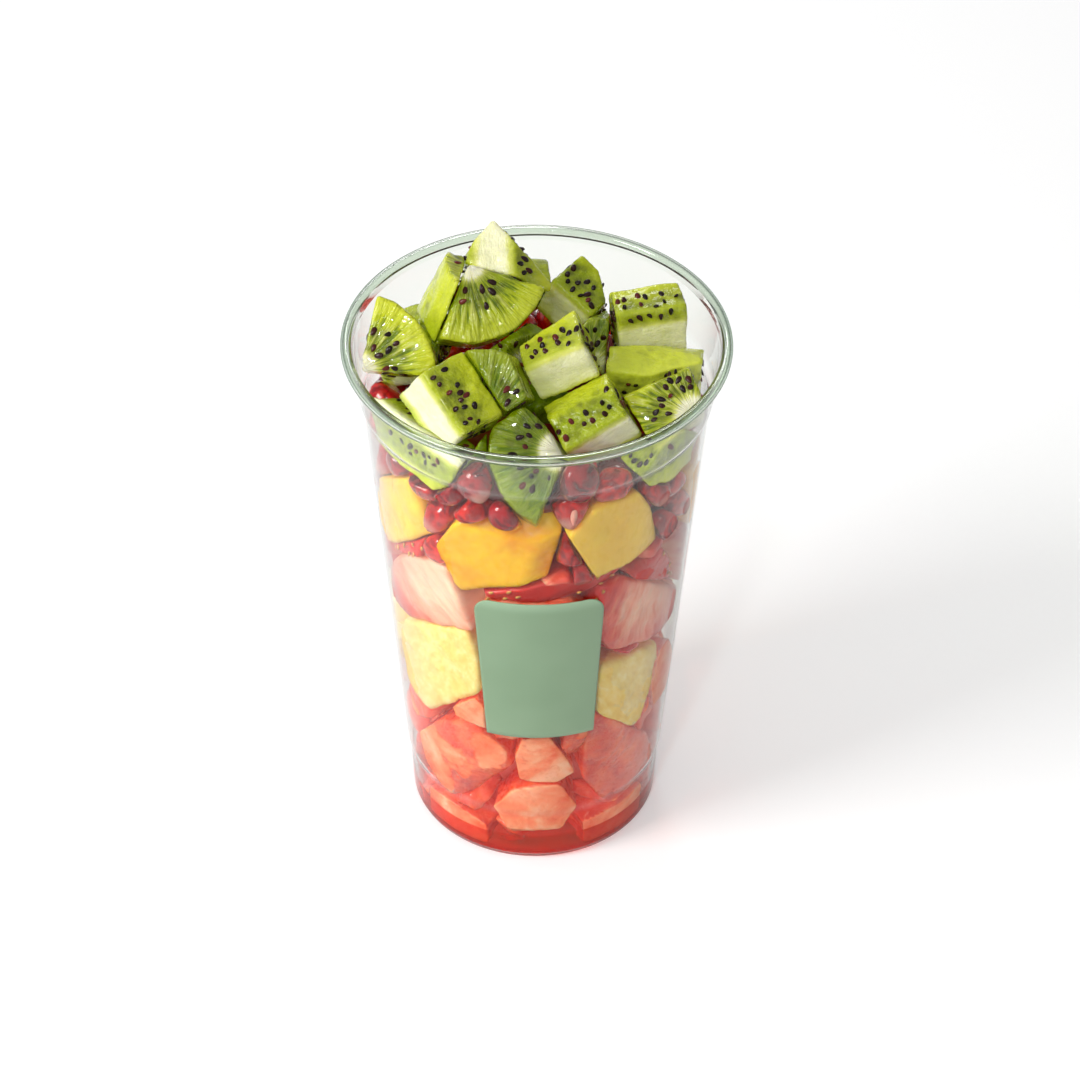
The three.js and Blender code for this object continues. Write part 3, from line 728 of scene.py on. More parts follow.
def kiwi_look():
    look = Look("kiwi_flesh", Roughness=0.3, IOR=1.36)
    v, t, a = look.split(look.attribute("fruit"))
    rho = look.length(v, t)
    turn = look.math("ARCTAN2", t, v)
    rays_at = look.join(look.times(turn, 9.0), look.times(rho, 1.3), look.times(a, 8.0))
    rays = look.noise(1.5, 2.0, 0.55, at=rays_at)
    fine = look.noise(4.5, 1.0, 0.5, at=rays_at)
    cloud = look.noise(260.0, 1.0)
    cross = look.number("cross")
    spread = look.span(cross, 0.0, 0.6, 0.07, 0.2)
    edge = look.math("ADD", rho, look.times(look.math("SUBTRACT", rays, 0.5), spread))
    look.colour = look.ramp(
        edge,
        (0.0, 250, 246, 220), (0.24, 248, 244, 212), (0.29, 222, 222, 120),
        (0.36, 170, 182, 10), (0.58, 152, 168, 0), (0.78, 190, 200, 10),
        (1.0, 210, 216, 50),
    )
    zone = look.times(look.span(rho, 0.24, 0.36), look.span(rho, 1.0, 0.75))
    zone = look.times(zone, look.span(cross, 0.0, 0.6, 0.2, 1.0))
    pale = look.times(look.span(rays, 0.52, 0.66), zone)
    dark = look.times(look.span(rays, 0.5, 0.36), zone)
    look.paint(look.times(pale, 0.75), 226, 228, 120)
    look.paint(look.times(dark, 0.85), 88, 114, 0)
    look.paint(look.times(look.span(fine, 0.5, 0.7), 0.2), 214, 220, 110)
    look.paint(look.times(look.span(cloud, 0.45, 0.7), 0.15), 160, 172, 12)
    # Painted shade: a higher dark number gives deeper green flesh, partly the piece's own tone and partly
    # shade deep in the heap.
    deep = look.times(look.number("dark"), look.span(rho, 0.22, 0.34))
    look.paint(look.times(deep, 0.75, clamp=True), 78, 108, 0)
    # Painted light: a dark number below 0 makes the flesh paler, partly the piece's own tone and partly
    # light on it.
    look.paint(look.times(look.number("dark"), -0.8, clamp=True), 226, 232, 92)
    look.paint(look.times(look.number("sunk"), 0.6), 70, 74, 30)
    look.set("Base Color", look.colour)
    look.set("Roughness", look.span(cloud, 0.3, 0.7, 0.1, 0.26))
    look.bump(look.times(rays, look.span(cross, 0.0, 0.6, 0.3, 1.0)), 1.0, 0.8)
    look.bump(look.noise(560.0, 2.0, 0.55), 0.7, 0.5)
    look.glow(0.33, (1.0, 0.9, 0.12), 2.6)
    look.wet(0.5, 0.03)
    look.let_light_in((0.6, 0.66, 0.12))
    return look.material


def hard_seed_look(name, blur, scale, *stops, **surface):
    look = Look(name, **surface)
    look.set("Base Color", look.ramp(look.number("tint"), *stops))
    look.bump(look.noise(scale), 0.3, 0.1)
    look.wet(0.3, blur)
    return look.material


def kiwi_seed_look():
    stops = (0, 24, 8, 8), (0.6, 58, 18, 16), (1, 104, 36, 28)
    return hard_seed_look("kiwi_seed", 0.08, 1800.0, *stops, Roughness=0.3, IOR=1.3)


def achene_look():
    stops = (0, 226, 178, 84), (1, 176, 96, 44)
    return hard_seed_look("strawberry_seed", 0.15, 2200.0, *stops, Roughness=0.35)


def mango_look():
    look = Look("mango_flesh", Roughness=0.32, IOR=1.36)
    fibre = look.fibres(0.25, 0.9, 0.6)
    cloud = look.noise(110.0, 2.0)
    look.colour = look.ramp(cloud, (0.3, 234, 150, 0), (0.5, 242, 174, 0), (0.7, 248, 192, 0))
    look.paint(look.span(fibre, 0.5, 0.75, 0, 0.2), 252, 210, 60)
    # Painted light: the tint number makes a piece paler, partly its own tone and partly light that the lamps
    # don't give it.
    look.paint(look.times(look.number("tint"), 0.7), 250, 208, 84)
    look.set("Base Color", look.colour)
    look.set("Roughness", look.span(fibre, 0.3, 0.7, 0.22, 0.4))
    look.bump(fibre, 0.2, 0.4)
    look.glow(0.28, (1.0, 0.6, 0.1), 3.5)
    look.wet(0.15, 0.06)
    return look.material


def pineapple_look():
    look = Look("pineapple_flesh", Roughness=0.38, IOR=1.36)
    fibre = look.fibres(0.16, 0.8, 0.65)
    cloud = look.noise(120.0, 2.0)
    look.colour = look.ramp(fibre, (0.3, 232, 190, 96), (0.5, 242, 208, 118), (0.72, 248, 224, 152))
    look.paint(look.span(cloud, 0.5, 0.72, 0, 0.4), 238, 208, 96)
    look.set("Base Color", look.colour)
    look.bump(fibre, 0.35, 0.5)
    look.bump(look.noise(500.0, 1.0), 0.15, 0.2)
    look.glow(0.35, (1.0, 0.7, 0.25), 4.0)
    look.wet(0.3, 0.08)
    look.let_light_in((0.9, 0.75, 0.4))
    return look.material


def strawberry_look():
    look = Look("strawberry_flesh", Roughness=0.3, IOR=1.36)
    x, y, z = look.split(look.attribute("berry"))
    ring = look.length(x, y)
    whole = look.length(ring, z)
    turn = look.math("ARCTAN2", y, x)
    rays_at = look.join(look.times(turn, 5.0), look.times(ring, 1.5), look.times(z, 1.6))
    rays = look.noise(1.6, 2.0, 0.6, at=rays_at)
    streak = look.span(whole, 0.2, 0.8, 0.12, 0.55)
    edge = look.math("ADD", whole, look.times(look.math("SUBTRACT", rays, 0.5), streak))
    flesh = look.ramp(
        edge,
        (0.0, 252, 224, 200), (0.46, 246, 198, 168), (0.68, 236, 140, 110),
        (0.82, 218, 76, 54), (0.95, 198, 32, 24),
    )
    skin = look.mix(look.noise(220.0, 2.0), srgb(190, 22, 20), srgb(222, 44, 34))
    look.set("Base Color", look.mix(look.span(whole, 0.93, 0.985), flesh, skin))
    look.set("Roughness", look.span(rays, 0.3, 0.7, 0.22, 0.4))
    look.bump(rays, 0.06, 0.3)
    look.bump(look.noise(600.0, 2.0), 0.2, 0.25)
    look.glow(0.28, (1.0, 0.35, 0.2), 3.0)
    look.wet(0.35, 0.05)
    look.let_light_in((0.85, 0.4, 0.32))
    return look.material


def watermelon_look():
    look = Look("watermelon_flesh", Roughness=0.3, IOR=1.35)
    cloud = look.noise(95.0, 2.0, 0.6, 0.6)
    grain = look.cells(700.0)
    # Where a piece lies on the wall it is pale; elsewhere it is a deeper red. That deeper red is partly the
    # juicy flesh's own colour and partly painted shade on the sides that turn away from the wall, and the
    # pale side is partly painted light.
    wet = look.ramp(cloud, (0.32, 206, 36, 10), (0.5, 232, 76, 34), (0.7, 246, 116, 68))
    flat = look.ramp(cloud, (0.3, 242, 96, 52), (0.5, 252, 142, 98), (0.7, 255, 188, 150))
    ragged = look.math("SUBTRACT", look.noise(260.0, 2.0), 0.5)
    firm = look.span(look.math("ADD", look.number("touch"), ragged), 0.1, 0.9)
    look.colour = look.mix(firm, wet, flat)
    threads = look.noise(520.0, 2.0, 0.7, 1.5)
    look.paint(look.span(threads, 0.52, 0.75, 0.0, 0.3), 255, 186, 150)
    look.paint(look.span(threads, 0.46, 0.28, 0.0, 0.28), 216, 52, 22)
    look.paint(look.span(grain, 0.0, 0.35, 0.16, 0.0), 255, 206, 176)
    look.set("Base Color", look.colour)
    look.set("Roughness", look.span(grain, 0.0, 0.5, 0.12, 0.3))
    look.bump(grain, 0.25, 0.35)
    look.bump(threads, 0.22, 0.4)
    look.glow(0.52, (1.0, 0.36, 0.18), 6.0)
    look.wet(0.4, 0.04)
    look.let_light_in((0.92, 0.46, 0.3))
    return look.material


def aril_look():
    look = Look("pomegranate_seed", Roughness=0.1, IOR=1.4, Transmission_Weight=0.3)
    along, _, _ = look.split(look.attribute("aril"))
    tint = look.number("tint")
    # The cloud mixes deep and light reds: partly the seeds' own uneven colour, partly a painted glow of
    # light through them.
    cloud = look.noise(1.4, 3.0, 0.6, 0.8, at=look.attribute("aril"))
    deep = look.mix(tint, srgb(92, 0, 18), srgb(164, 0, 16))
    light = look.mix(tint, srgb(170, 6, 34), srgb(248, 44, 26))
    look.colour = look.mix(look.span(cloud, 0.36, 0.6), deep, light)
    look.paint(look.span(along, -0.7, -1.0, 0, 0.6), 238, 176, 158)
    # Painted shade: darker where a seed meets its neighbours, the cut fruit or the wall.
    look.paint(look.span(look.number("meet"), 0.25, 0.9, 0, 0.8), 72, 0, 20)
    look.set("Base Color", look.colour)
    look.bump(look.noise(300.0, 1.0), 0.2, 0.3)
    look.wet(1.0, 0.02)
    look.let_light_in((0.55, 0.06, 0.08))
    return look.material


def pip_look():
    look = Look("pomegranate_pip", Roughness=0.4)
    cloud = look.noise(500.0, 2.0)
    look.set("Base Color", look.mix(cloud, srgb(236, 190, 170), srgb(214, 120, 104)))
    look.bump(cloud, 0.3, 0.2)
    return look.material


def core_look():
    look = Look("fruit_core", Roughness=0.4)
    colour = look.attribute("shade", "Color")
    cloud = look.noise(150.0, 3.0)
    look.set("Base Color", look.mix(look.span(cloud, 0.3, 0.7, 0.0, 0.35), colour, srgb(120, 20, 16)))
    look.bump(cloud, 0.6, 1.0)
    look.wet(0.4, 0.1)
    return look.material


def clear_look(name, tint, edge, sides, shadow, index, clear):
    """Thin clear plastic with a faint green tint, which is deeper where it is seen edge on: partly the
    longer way through the plastic, partly painted shade for the dark lines that the bending of darker things
    behind gives.
    """
    look = Look(name, Transmission_Weight=clear, Roughness=0.015, IOR=index)
    side = look.node("LayerWeight")
    side.inputs["Blend"].default_value = 0.5
    # Painted shade in part: the tint turns to the darker edge colour where the surface is seen edge on.
    look.set("Base Color", look.mix(look.span(side.outputs["Facing"], *sides), tint, edge))
    look.bump(look.noise(40.0, 0.0), 0.015, 0.5)
    look.let_light_in(shadow)
    return look.material


def juice_look():
    look = Look("juice", Transmission_Weight=0.92, Roughness=0.03, IOR=1.2)
    height = look.split(look.place())[2]
    deep = look.span(height, 2.2 * MM, 5.5 * MM)
    look.set("Base Color", look.mix(deep, srgb(190, 40, 18), srgb(230, 104, 66)))
    look.bump(look.noise(90.0, 1.0), 0.1, 0.5)
    look.let_light_in(srgb(242, 142, 120))
    return look.material


def label_look():
    look = Look("label_paper", Roughness=0.42, IOR=1.45)
    cloud = look.noise(40.0, 2.0)
    fine = look.noise(2600.0, 2.0)
    look.colour = look.mix(look.span(cloud, 0.3, 0.7), srgb(127, 155, 122), srgb(134, 162, 129))
    # Painted highlight: lighter along the label's top edge.
    height = look.split(look.place())[2]
    top = look.span(height, (LABEL["high"] - 4) * MM, LABEL["high"] * MM, 0, 0.5)
    look.paint(top, 168, 200, 164)
    look.set("Base Color", look.colour)
    look.bump(fine, 0.12, 0.05)
    return look.material


# ------------------------------------------------------------------ seeds
def seed_shape(cells, half, point=0.35):
    """A drop: blunt at one end and drawn to a point at the other, along x."""
    dirs, quads = ball(cells)
    points = dirs.copy()
    points[:, 1:] *= (1 - point * (0.5 - 0.5 * dirs[:, :1]) ** 1.5 * 1.4)
    return points * half, quads


KIWI_SIZE = 18.0  # a fruit's radius, which the flesh's pattern is measured in
SEED_HALF_KIWI = np.array([1.3, 0.82, 0.5])
# The ring of seeds in a fruit: how many round it, how far from its axis, how far along that, how
# far apart, what share of them is missing, and how near to each other they show.
KIWI_LOCULES = 34
KIWI_SEED_LAYERS = (7.6, 9.5, 11.4)
KIWI_SEEDS_ALONG = 16
KIWI_SEED_STEP = 1.75
KIWI_SEEDS_MISSING = 0.12
KIWI_SEEDS_APART = 1.8
SEED_SHOWS = 0.75  # a seed less deep than this stands on the face, and a deeper one shows through


def kiwi_axes(number):
    core, out, along = (np.asarray(v, float) for v in KIWI[number][:3])
    er = unit(out)
    ea = unit(along - (along @ er) * er)
    return core, er, np.cross(ea, er), ea


def kiwi_seeds_of(piece, rng):
    """The seeds of a fruit's ring that lie at the piece's surface, and those just under it."""
    core, er, et, ea = kiwi_axes(piece["i"])
    planes = piece["planes"]
    shown, sunk = [], []
    for k in range(KIWI_LOCULES):
        for a in np.arange(-KIWI_SEEDS_ALONG, KIWI_SEEDS_ALONG, KIWI_SEED_STEP):
            for layer in KIWI_SEED_LAYERS:
                angle = TURN * (k + rng.uniform(-0.3, 0.3)) / KIWI_LOCULES
                r = layer + rng.uniform(-1.0, 1.0)
                along = a + rng.uniform(-0.7, 0.7)
                radial = math.cos(angle) * er + math.sin(angle) * et
                p = core + r * radial + along * ea
                depth = planes[:, 3] - planes[:, :3] @ p
                nearest = depth.argmin()
                if depth[nearest] < -0.5 or rng.random() < KIWI_SEEDS_MISSING:
                    continue
                normal = planes[nearest, :3]
                others = depth[planes[:, :3] @ normal < 0.97]
                if depth[nearest] < SEED_SHOWS and others.min() > 0.9:
                    place = p + normal * depth[nearest]
                    outward = level_out(place)
                    near_wall = place @ outward > inner_radius(min(place[2], HEIGHT)) - 3
                    if near_wall and normal @ outward > 0.6:
                        sunk.append((place - 0.76 * normal, 0.76))
                    elif all(np.linalg.norm(place - o) > KIWI_SEEDS_APART for o, *_ in shown):
                        shown.append((place, normal, radial + 0.35 * rng.normal(size=3)))
                elif SEED_SHOWS <= depth[nearest] < 2.6:
                    sunk.append((p, depth[nearest]))
    return shown, sunk


# ------------------------------------------------------------------ the fruit
def local_depth(piece, points):
    """How far each point lies inside each of the piece's planes."""
    return piece["planes"][:, 3] - points @ piece["planes"][:, :3].T


def dimmed(points, sunk):
    """How much the seeds just under the surface darken it, from 0 to 1."""
    dim = np.zeros(len(points))
    for p, depth in sunk:
        far = ((points - p) ** 2).sum(1) - depth ** 2
        dim = np.maximum(dim, (1 - (depth - SEED_SHOWS) / 2.2) * np.exp(-np.maximum(far, 0) / 1.1))
    return dim


def make_kiwis(pieces):
    flesh = kiwi_look()
    seeds = Heap()
    shape, shape_quads = seed_shape(3, SEED_HALF_KIWI)
    for order, piece in enumerate(of_kind(pieces, "kiwi")):
        rng = own_random("kiwi", order)
        name = f"kiwi_{piece['i']:02d}"
        core, er, et, ea = kiwi_axes(piece["i"])
        points, quads, dirs = shaped(piece)
        points = points + dirs * (uneven(piece, points, order) - 0.12)[:, None]
        shown, sunk = kiwi_seeds_of(piece, rng)
        centre = piece["corners"].mean(0)
        for place, normal, radial in shown:
            ahead = unit(place - centre)
            near = (dirs @ ahead).argmax()
            place = centre + ahead * ((points[near] - centre) @ ahead)
            axes = frame_from(radial, normal)
            size = rng.uniform(0.85, 1.12)
            made = (shape * size) @ axes + place - 0.05 * normal
            seeds.add(made, shape_quads, tint=rng.random() ** 2)
        local = points - core
        fruit = np.stack([local @ er, local @ et, local @ ea], 1) / KIWI_SIZE
        face = piece["planes"][local_depth(piece, points).argmin(1), :3]
        cross = np.abs(face @ ea) ** 2
        sunk = dimmed(points, sunk)
        # dark is each piece's painted shade, or painted light below 0, partly also its own tone.
        values = {"fruit": fruit, "sunk": sunk, "cross": cross, "dark": KIWI[piece["i"]][3]}
        make_object(f"{name}_flesh", points, quads, flesh, (name,), "kiwi", values)
    seeds.object("kiwi_seeds", kiwi_seed_look(), slot="kiwi")
    make_kiwi_bits(pieces, flesh)


def make_kiwi_bits(pieces, flesh):
    bits = Heap()
    for piece in of_kind(pieces, "kiwi_bit"):
        points, quads, dirs = shaped(piece)
        points = press(points + dirs * uneven(piece, points)[:, None])
        fruit = (points - piece["corners"].mean(0) + (9, 6, 2)) / KIWI_SIZE
        # The bits are painted dark: painted shade in the gaps deep in the heap.
        bits.add(points, quads, fruit=fruit, sunk=0, cross=0, dark=0.9)
    bits.object("kiwi_bits", flesh, slot="kiwi")


def grain_of(points, piece, rng, size):
    """The points in axes of the piece's own, x along its fibres."""
    axes = frame_from(rng.normal(size=3), (0, 0, 1))
    return (points - piece["corners"].mean(0)) @ axes.T / size + 20 * rng.random(3)


def make_bits(pieces, kind, look):
    """The smaller pieces behind the gaps, in the same flesh."""
    heap = Heap()
    for piece in of_kind(pieces, f"{kind}_bit"):
        rng = own_random(piece["kind"], piece["i"])
        points, quads, dirs = shaped(piece)
        points = points + dirs * uneven(piece, points)[:, None]
        values = {"grain": grain_of(points, piece, rng, 2.0), "touch": touching(points)}
        points = press(points)
        if kind == "strawberry":
            middle = piece["corners"].mean(0)
            values["berry"] = (points - middle - 19 * unit(rng.normal(size=3))) / 20
        heap.add(points, quads, **values)
    heap.object(f"{kind}_bits", look, replaced=(kind,), slot=kind)


# How pale a mango piece is painted, by its number: partly its own tone, partly painted light on a piece that
# the lamps reach less.
MANGO_PALE_AND_LIT = {0: 0.1, 1: 1.0, 2: 0.6}


def make_mango(pieces):
    heap = Heap()
    for piece in of_kind(pieces, "mango"):
        rng = own_random("mango", piece["i"])
        points, quads, dirs = shaped(piece)
        points = press(points + dirs * uneven(piece, points)[:, None])
        tint = MANGO_PALE_AND_LIT.get(piece["i"], 0.2)
        heap.add(points, quads, grain=grain_of(points, piece, rng, 2.0), tint=tint)
    heap.object("mango_chunks", mango_look(), replaced=("mango",), slot="mango")


def make_pineapple(pieces):
    heap = Heap()
    for piece in of_kind(pieces, "pineapple"):
        rng = own_random("pineapple", piece["i"])
        points, quads, dirs = shaped(piece)
        grain = grain_of(points, piece, rng, 2.0)
        threads = ripple(grain * (0.15, 1, 1), 0.9, piece["i"] + 70)
        notches = np.maximum(ripple(points, 6, 9) - 0.8, 0)
        wobble = uneven(piece, points) + 0.12 * threads - 0.45 * notches
        points = press(points + dirs * wobble[:, None])
        heap.add(points, quads, grain=grain)
    look = pineapple_look()
    heap.object("pineapple_chunks", look, replaced=("pineapple",), slot="pineapple")
    make_bits(pieces, "pineapple", look)


# How much less firmly a watermelon piece lies on the wall than its shape says, by its number: it only gets
# less of the pale colour and more of the deeper red, which is partly painted shade.
MELON_LOOSE = {3: 0.5}


def make_watermelon(pieces):
    heap = Heap()
    for piece in of_kind(pieces, "watermelon"):
        points, quads, dirs = shaped(piece)
        crumb = np.abs(ripple(points, 5, piece["i"] + 80)) - 0.6
        points = points + dirs * (uneven(piece, points) + 0.25 * crumb)[:, None]
        touch = touching(points) - MELON_LOOSE.get(piece["i"], 0.0)
        heap.add(press(points), quads, touch=touch)
    look = watermelon_look()
    heap.object("watermelon_chunks", look, replaced=("watermelon",), slot="watermelon")
    make_bits(pieces, "watermelon", look)


def berry_of(piece, rng):
    """The whole berry that a piece is cut from: its middle, its axes as rows, and half its size."""
    middle = piece["corners"].mean(0)
    out = level_out(middle)
    across = np.array([-out[1], out[0], 0])
    *facing, radius = BERRY_SKIN[piece["i"]]
    facing = unit(facing @ np.array([across, out, [0, 0, 1]]))
    extent = ((piece["corners"] - middle) @ facing).max()
    axes = frame_from(facing, np.cross(facing, out) + 0.2 * rng.normal(size=3))
    return middle + facing * (extent - radius + 0.8), axes, radius * np.array([1, 1, 1.25])


def skin_of(centre, axes, half):
    """What tells how far a berry's skin lies from a point, along each direction."""

    def skin(at, dirs):
        u = dirs @ axes.T / half
        w = (at - centre) @ axes.T / half
        b = (u * w).sum(1)
        a = (u * u).sum(1)
        root = np.sqrt(np.maximum(b * b - a * (w @ w - 1), 1e-9))
        return np.maximum((root - b) / a, 0.5)

    return skin


ACHENES_APART = 2.7  # the seeds on a strawberry's skin


def make_strawberry(pieces):
    heap, achenes = Heap(), Heap()
    shape, shape_quads = seed_shape(3, np.array([0.75, 0.5, 0.34]))
    for piece in of_kind(pieces, "strawberry"):
        rng = own_random("strawberry", piece["i"])
        centre, axes, half = berry_of(piece, rng)
        points, quads, dirs = shaped(piece, skin_of(centre, axes, half))
        berry = (points - centre) @ axes.T / half
        on_skin = np.linalg.norm(berry, axis=1) > 0.975
        points = press(points + dirs * uneven(piece, points)[:, None])
        placed = []
        for k in rng.permutation(np.flatnonzero(on_skin)):
            if all(np.linalg.norm(points[k] - p) > ACHENES_APART for p in placed):
                placed.append(points[k])
                normal = unit((points[k] - centre) @ axes.T / half ** 2 @ axes)
                turn = frame_from(axes[2] + 0.2 * rng.normal(size=3), normal)
                made = press(shape @ turn + points[k] + 0.08 * normal, 0.12)
                achenes.add(made, shape_quads, tint=rng.random())
                near = np.linalg.norm(points - points[k], axis=1)
                points = points - dirs * (0.3 * np.exp(-((near / 0.9) ** 2)))[:, None]
        heap.add(points, quads, berry=berry)
    look = strawberry_look()
    heap.object("strawberry_pieces", look, replaced=("strawberry",), slot="strawberry")
    make_bits(pieces, "strawberry", look)
    achenes.object("strawberry_seeds", achene_look(), slot="strawberry")


def seed_places():
    places = [(beside(angle, z, 5), angle) for angle, z in SEEDS_SEEN]
    for z, start, stop, step, depth, tilt in SEED_ROWS:
        for angle in np.arange(start, stop, step):
            p = beside(angle, z + 1.6 * math.sin(angle * 1.7 + z), depth)
            p[2] -= tilt * p[1]
            places.append((p, angle))
    for r, z, count in SEED_RINGS:
        for i in range(count):
            angle = 360 * i / count + r * 7
            a = math.radians(angle)
            height = z + 1.2 * math.sin(i * 2.3 + r)
            p = np.array([r * math.sin(a), -r * math.cos(a), height + HEAP_TILT * r * math.cos(a)])
            places.append((p, angle))
    return places


def heap_fall(points):
    """How much lower the heap of seeds is here than in front."""
    return np.maximum(points[..., :2], 0) @ SEEDS_FALL


def chosen_seeds(pieces):
    """A seed stays only where it clears the cut fruit and the seeds placed before it. More go
    into the gaps round the wall."""
    extra = []
    for depth in SEED_GAPS["depths"]:
        for z in range(SEED_GAPS["low"], SEED_GAPS["high"], SEED_GAPS["rise"]):
            for angle in np.arange(-90 + z, 270 + z, SEED_GAPS["turn"]):
                extra.append((beside(angle, z + math.sin(angle * 1.3 + z), depth), angle))
    lid = []
    for p, angle in seed_places():
        if p[1] > SEED_LID["from"]:
            lid.append((np.array([p[0], p[1], min(p[2], SEEDS_BELOW - heap_fall(p))]), angle))
    chosen = []
    low, left, right = KIWI_ONLY
    for apart, places in ((SEED_APART, seed_places()), (SEED_GAPS_APART, extra), (SEED_LID["apart"], lid)):
        for p, angle in places:
            front = left < (angle + 180) % 360 - 180 < right
            if p[2] > low and front and math.hypot(p[0], p[1]) > KIWI_INNER:
                continue
            if p[2] > SEEDS_BELOW - heap_fall(p):
                continue
            if any(np.linalg.norm(p - other) < apart for other, _ in chosen):
                continue
            clear = (local_depth(piece, p[None])[0] for piece in pieces)
            if any((depth >= -SEED_CLEAR).all() for depth in clear):
                continue
            chosen.append((p, angle))
    return chosen


def flats_round(place, centres, pieces):
    """What flattens a seed: planes halfway to its neighbours, and the sides of cut fruit, each as
    a normal and how far out it lies."""
    away = centres - place
    far = np.linalg.norm(away, axis=1)
    near = np.flatnonzero((far > 0) & (far < SEED_MEETS["seed"]))
    flats = [(away[j] / far[j], far[j] / 2 - 0.05) for j in near]
    for piece in pieces:
        depth = local_depth(piece, place[None])[0]
        nearest = depth.argmin()
        if -SEED_MEETS["fruit"] < depth[nearest] < 0:
            flats.append((-piece["planes"][nearest, :3], -depth[nearest] - 0.15))
    return flats


def pull_in(dirs, flats):
    """How strongly planes hold a seed in along each direction, in the sum that gives its radius."""
    total = np.zeros(len(dirs))
    for normal, reach in flats:
        total += np.maximum(dirs @ normal / max(reach, 0.8), 0) ** SEED_POWER
    return total


def make_arils(pieces):
    """Each seed is a drop, flattened where it meets its neighbours, the cut fruit or the wall."""
    heap, pips = Heap(), Heap()
    dirs, quads = ball(8)
    pip, pip_quads = seed_shape(4, np.array([3.6, 1.9, 1.7]), 0.5)
    places = chosen_seeds(pieces)
    centres = np.array([p for p, _ in places])
    for i, (place, angle) in enumerate(places):
        rng = own_random("seed", i)
        nod = Matrix.Rotation(0.9 * math.sin(i * 1.3), 3, "Y")
        nod @= Matrix.Rotation(0.8 * math.sin(i * 2.1), 3, "X")
        lean = np.array(Matrix.Rotation(math.radians(angle), 3, "Z") @ nod)
        own = dirs @ lean
        half = SEED_HALF * rng.uniform(0.95, 1.1) * (1 - 0.25 * np.maximum(-own[:, 2:], 0) * (1, 1, 0))
        facets = [(unit(rng.normal(size=3)), rng.uniform(3.9, 5.2)) for _ in range(SEED_FACETS)]
        meet = pull_in(dirs, flats_round(place, centres, pieces))
        share = np.linalg.norm(own / half, axis=1) ** SEED_POWER + meet + pull_in(dirs, facets)
        radius = share ** (-1 / SEED_POWER)
        points = press(place + dirs * radius[:, None])
        # meet / share also sets the painted shade where a seed meets others.
        heap.add(points, quads, aril=own[:, [2, 0, 1]], tint=rng.random(), meet=meet / share)
        small = min(1.0, radius.min() / 3.2)
        shift = PIP_SHOWS.get(i, 0.0) * level_out(place)
        made = (pip * small)[:, [2, 1, 0]] @ lean.T + place + shift
        pips.add(made, pip_quads[:, ::-1], tint=rng.random())
    heap.object("pomegranate_arils", aril_look(), replaced=("pomegranate",), slot="pomegranate")
    pips.object("pomegranate_pips", pip_look(), slot="pomegranate")


# ------------------------------------------------------------------ turned shapes
def grid(columns, rows):
    """The column and the row of each cell of a grid, column by column."""
    return (g.ravel() for g in np.meshgrid(np.arange(columns), np.arange(rows), indexing="ij"))


def lathe(profile, sides):
    """Points and quads of an outline of (radius, height), from axis to axis, turned about it."""
    profile = np.asarray(profile, float)
    a = np.arange(sides) * TURN / sides
    x, y = np.outer(np.sin(a), profile[:, 0]), np.outer(-np.cos(a), profile[:, 0])
    points = np.stack([x, y, np.tile(profile[:, 1], (sides, 1))], 2).reshape(-1, 3)
    n = len(profile)
    i, j = grid(sides, n - 1)
    i2 = (i + 1) % sides
    return points, np.stack([i * n + j, i2 * n + j, i2 * n + j + 1, i * n + j + 1], 1)


def capped(profile, sides):
    """Like lathe, with the points that lie together joined: a quad on the axis becomes a triangle."""
    points, quads = lathe(profile, sides)
    kept, again = np.unique(points.round(5), axis=0, return_inverse=True)
    return kept, again.ravel()[quads]


CORE_SHADES = {
    "watermelon": (222, 74, 52), "pineapple": (232, 170, 100), "strawberry": (190, 40, 36),
    "mango": (200, 60, 34), "pomegranate": (110, 10, 26),
}


def make_cores():
    look = core_look()
    for kind, side in CORES.items():
        side = np.array(side, float)
        length = np.r_[0, np.cumsum(np.hypot(*np.diff(side, axis=0).T))]
        steps = np.linspace(0, length[-1], 26)
        r, z = np.interp(steps, length, side[:, 0]), np.interp(steps, length, side[:, 1])
        rows = [(0.01, z[0]), *zip(np.linspace(r[0] * 0.2, r[0], 5)[:-1], [z[0]] * 4), *zip(r, z)]
        rows += [*zip(np.linspace(r[-1], r[-1] * 0.2, 5)[1:], [z[-1]] * 4), (0.01, z[-1])]
        points, quads = lathe(rows, 96)
        out = points * (1, 1, 0)
        out /= np.maximum(np.linalg.norm(out, axis=1), 1e-6)[:, None]
        share = np.clip(np.hypot(points[:, 0], points[:, 1]) / 20, 0, 1)
        wobble = 0.9 * ripple(points, 11, 5) + 0.4 * ripple(points, 4, 6)
        points = points + out * (share * wobble)[:, None]
        if kind == "pomegranate":
            points[:, 2] -= heap_fall(points) * np.clip((points[:, 2] - z[0]) / 8, 0, 1)
        shade = srgb(*CORE_SHADES[kind])
        make_object(f"{kind}_core", points, quads, look, (kind,), kind, {"shade": shade})


def arc(cx, cz, radius, start, stop, steps):
    angles = np.radians(np.linspace(start, stop, steps + 1))
    return [(cx + radius * math.cos(a), cz + radius * math.sin(a)) for a in angles]


def eased(points, near):
    """An outline with each corner cut to a short curve, which starts this near to it."""
    points = np.asarray(points, float)
    made = []
    for before, p, after in zip(points, points[1:], points[2:]):
        a = p + unit(before - p) * min(near, np.linalg.norm(before - p) / 2.2)
        b = p + unit(after - p) * min(near, np.linalg.norm(after - p) / 2.2)
        made += [a, 0.25 * a + 0.5 * p + 0.25 * b, b]
    return [points[0], *made, points[-1]]


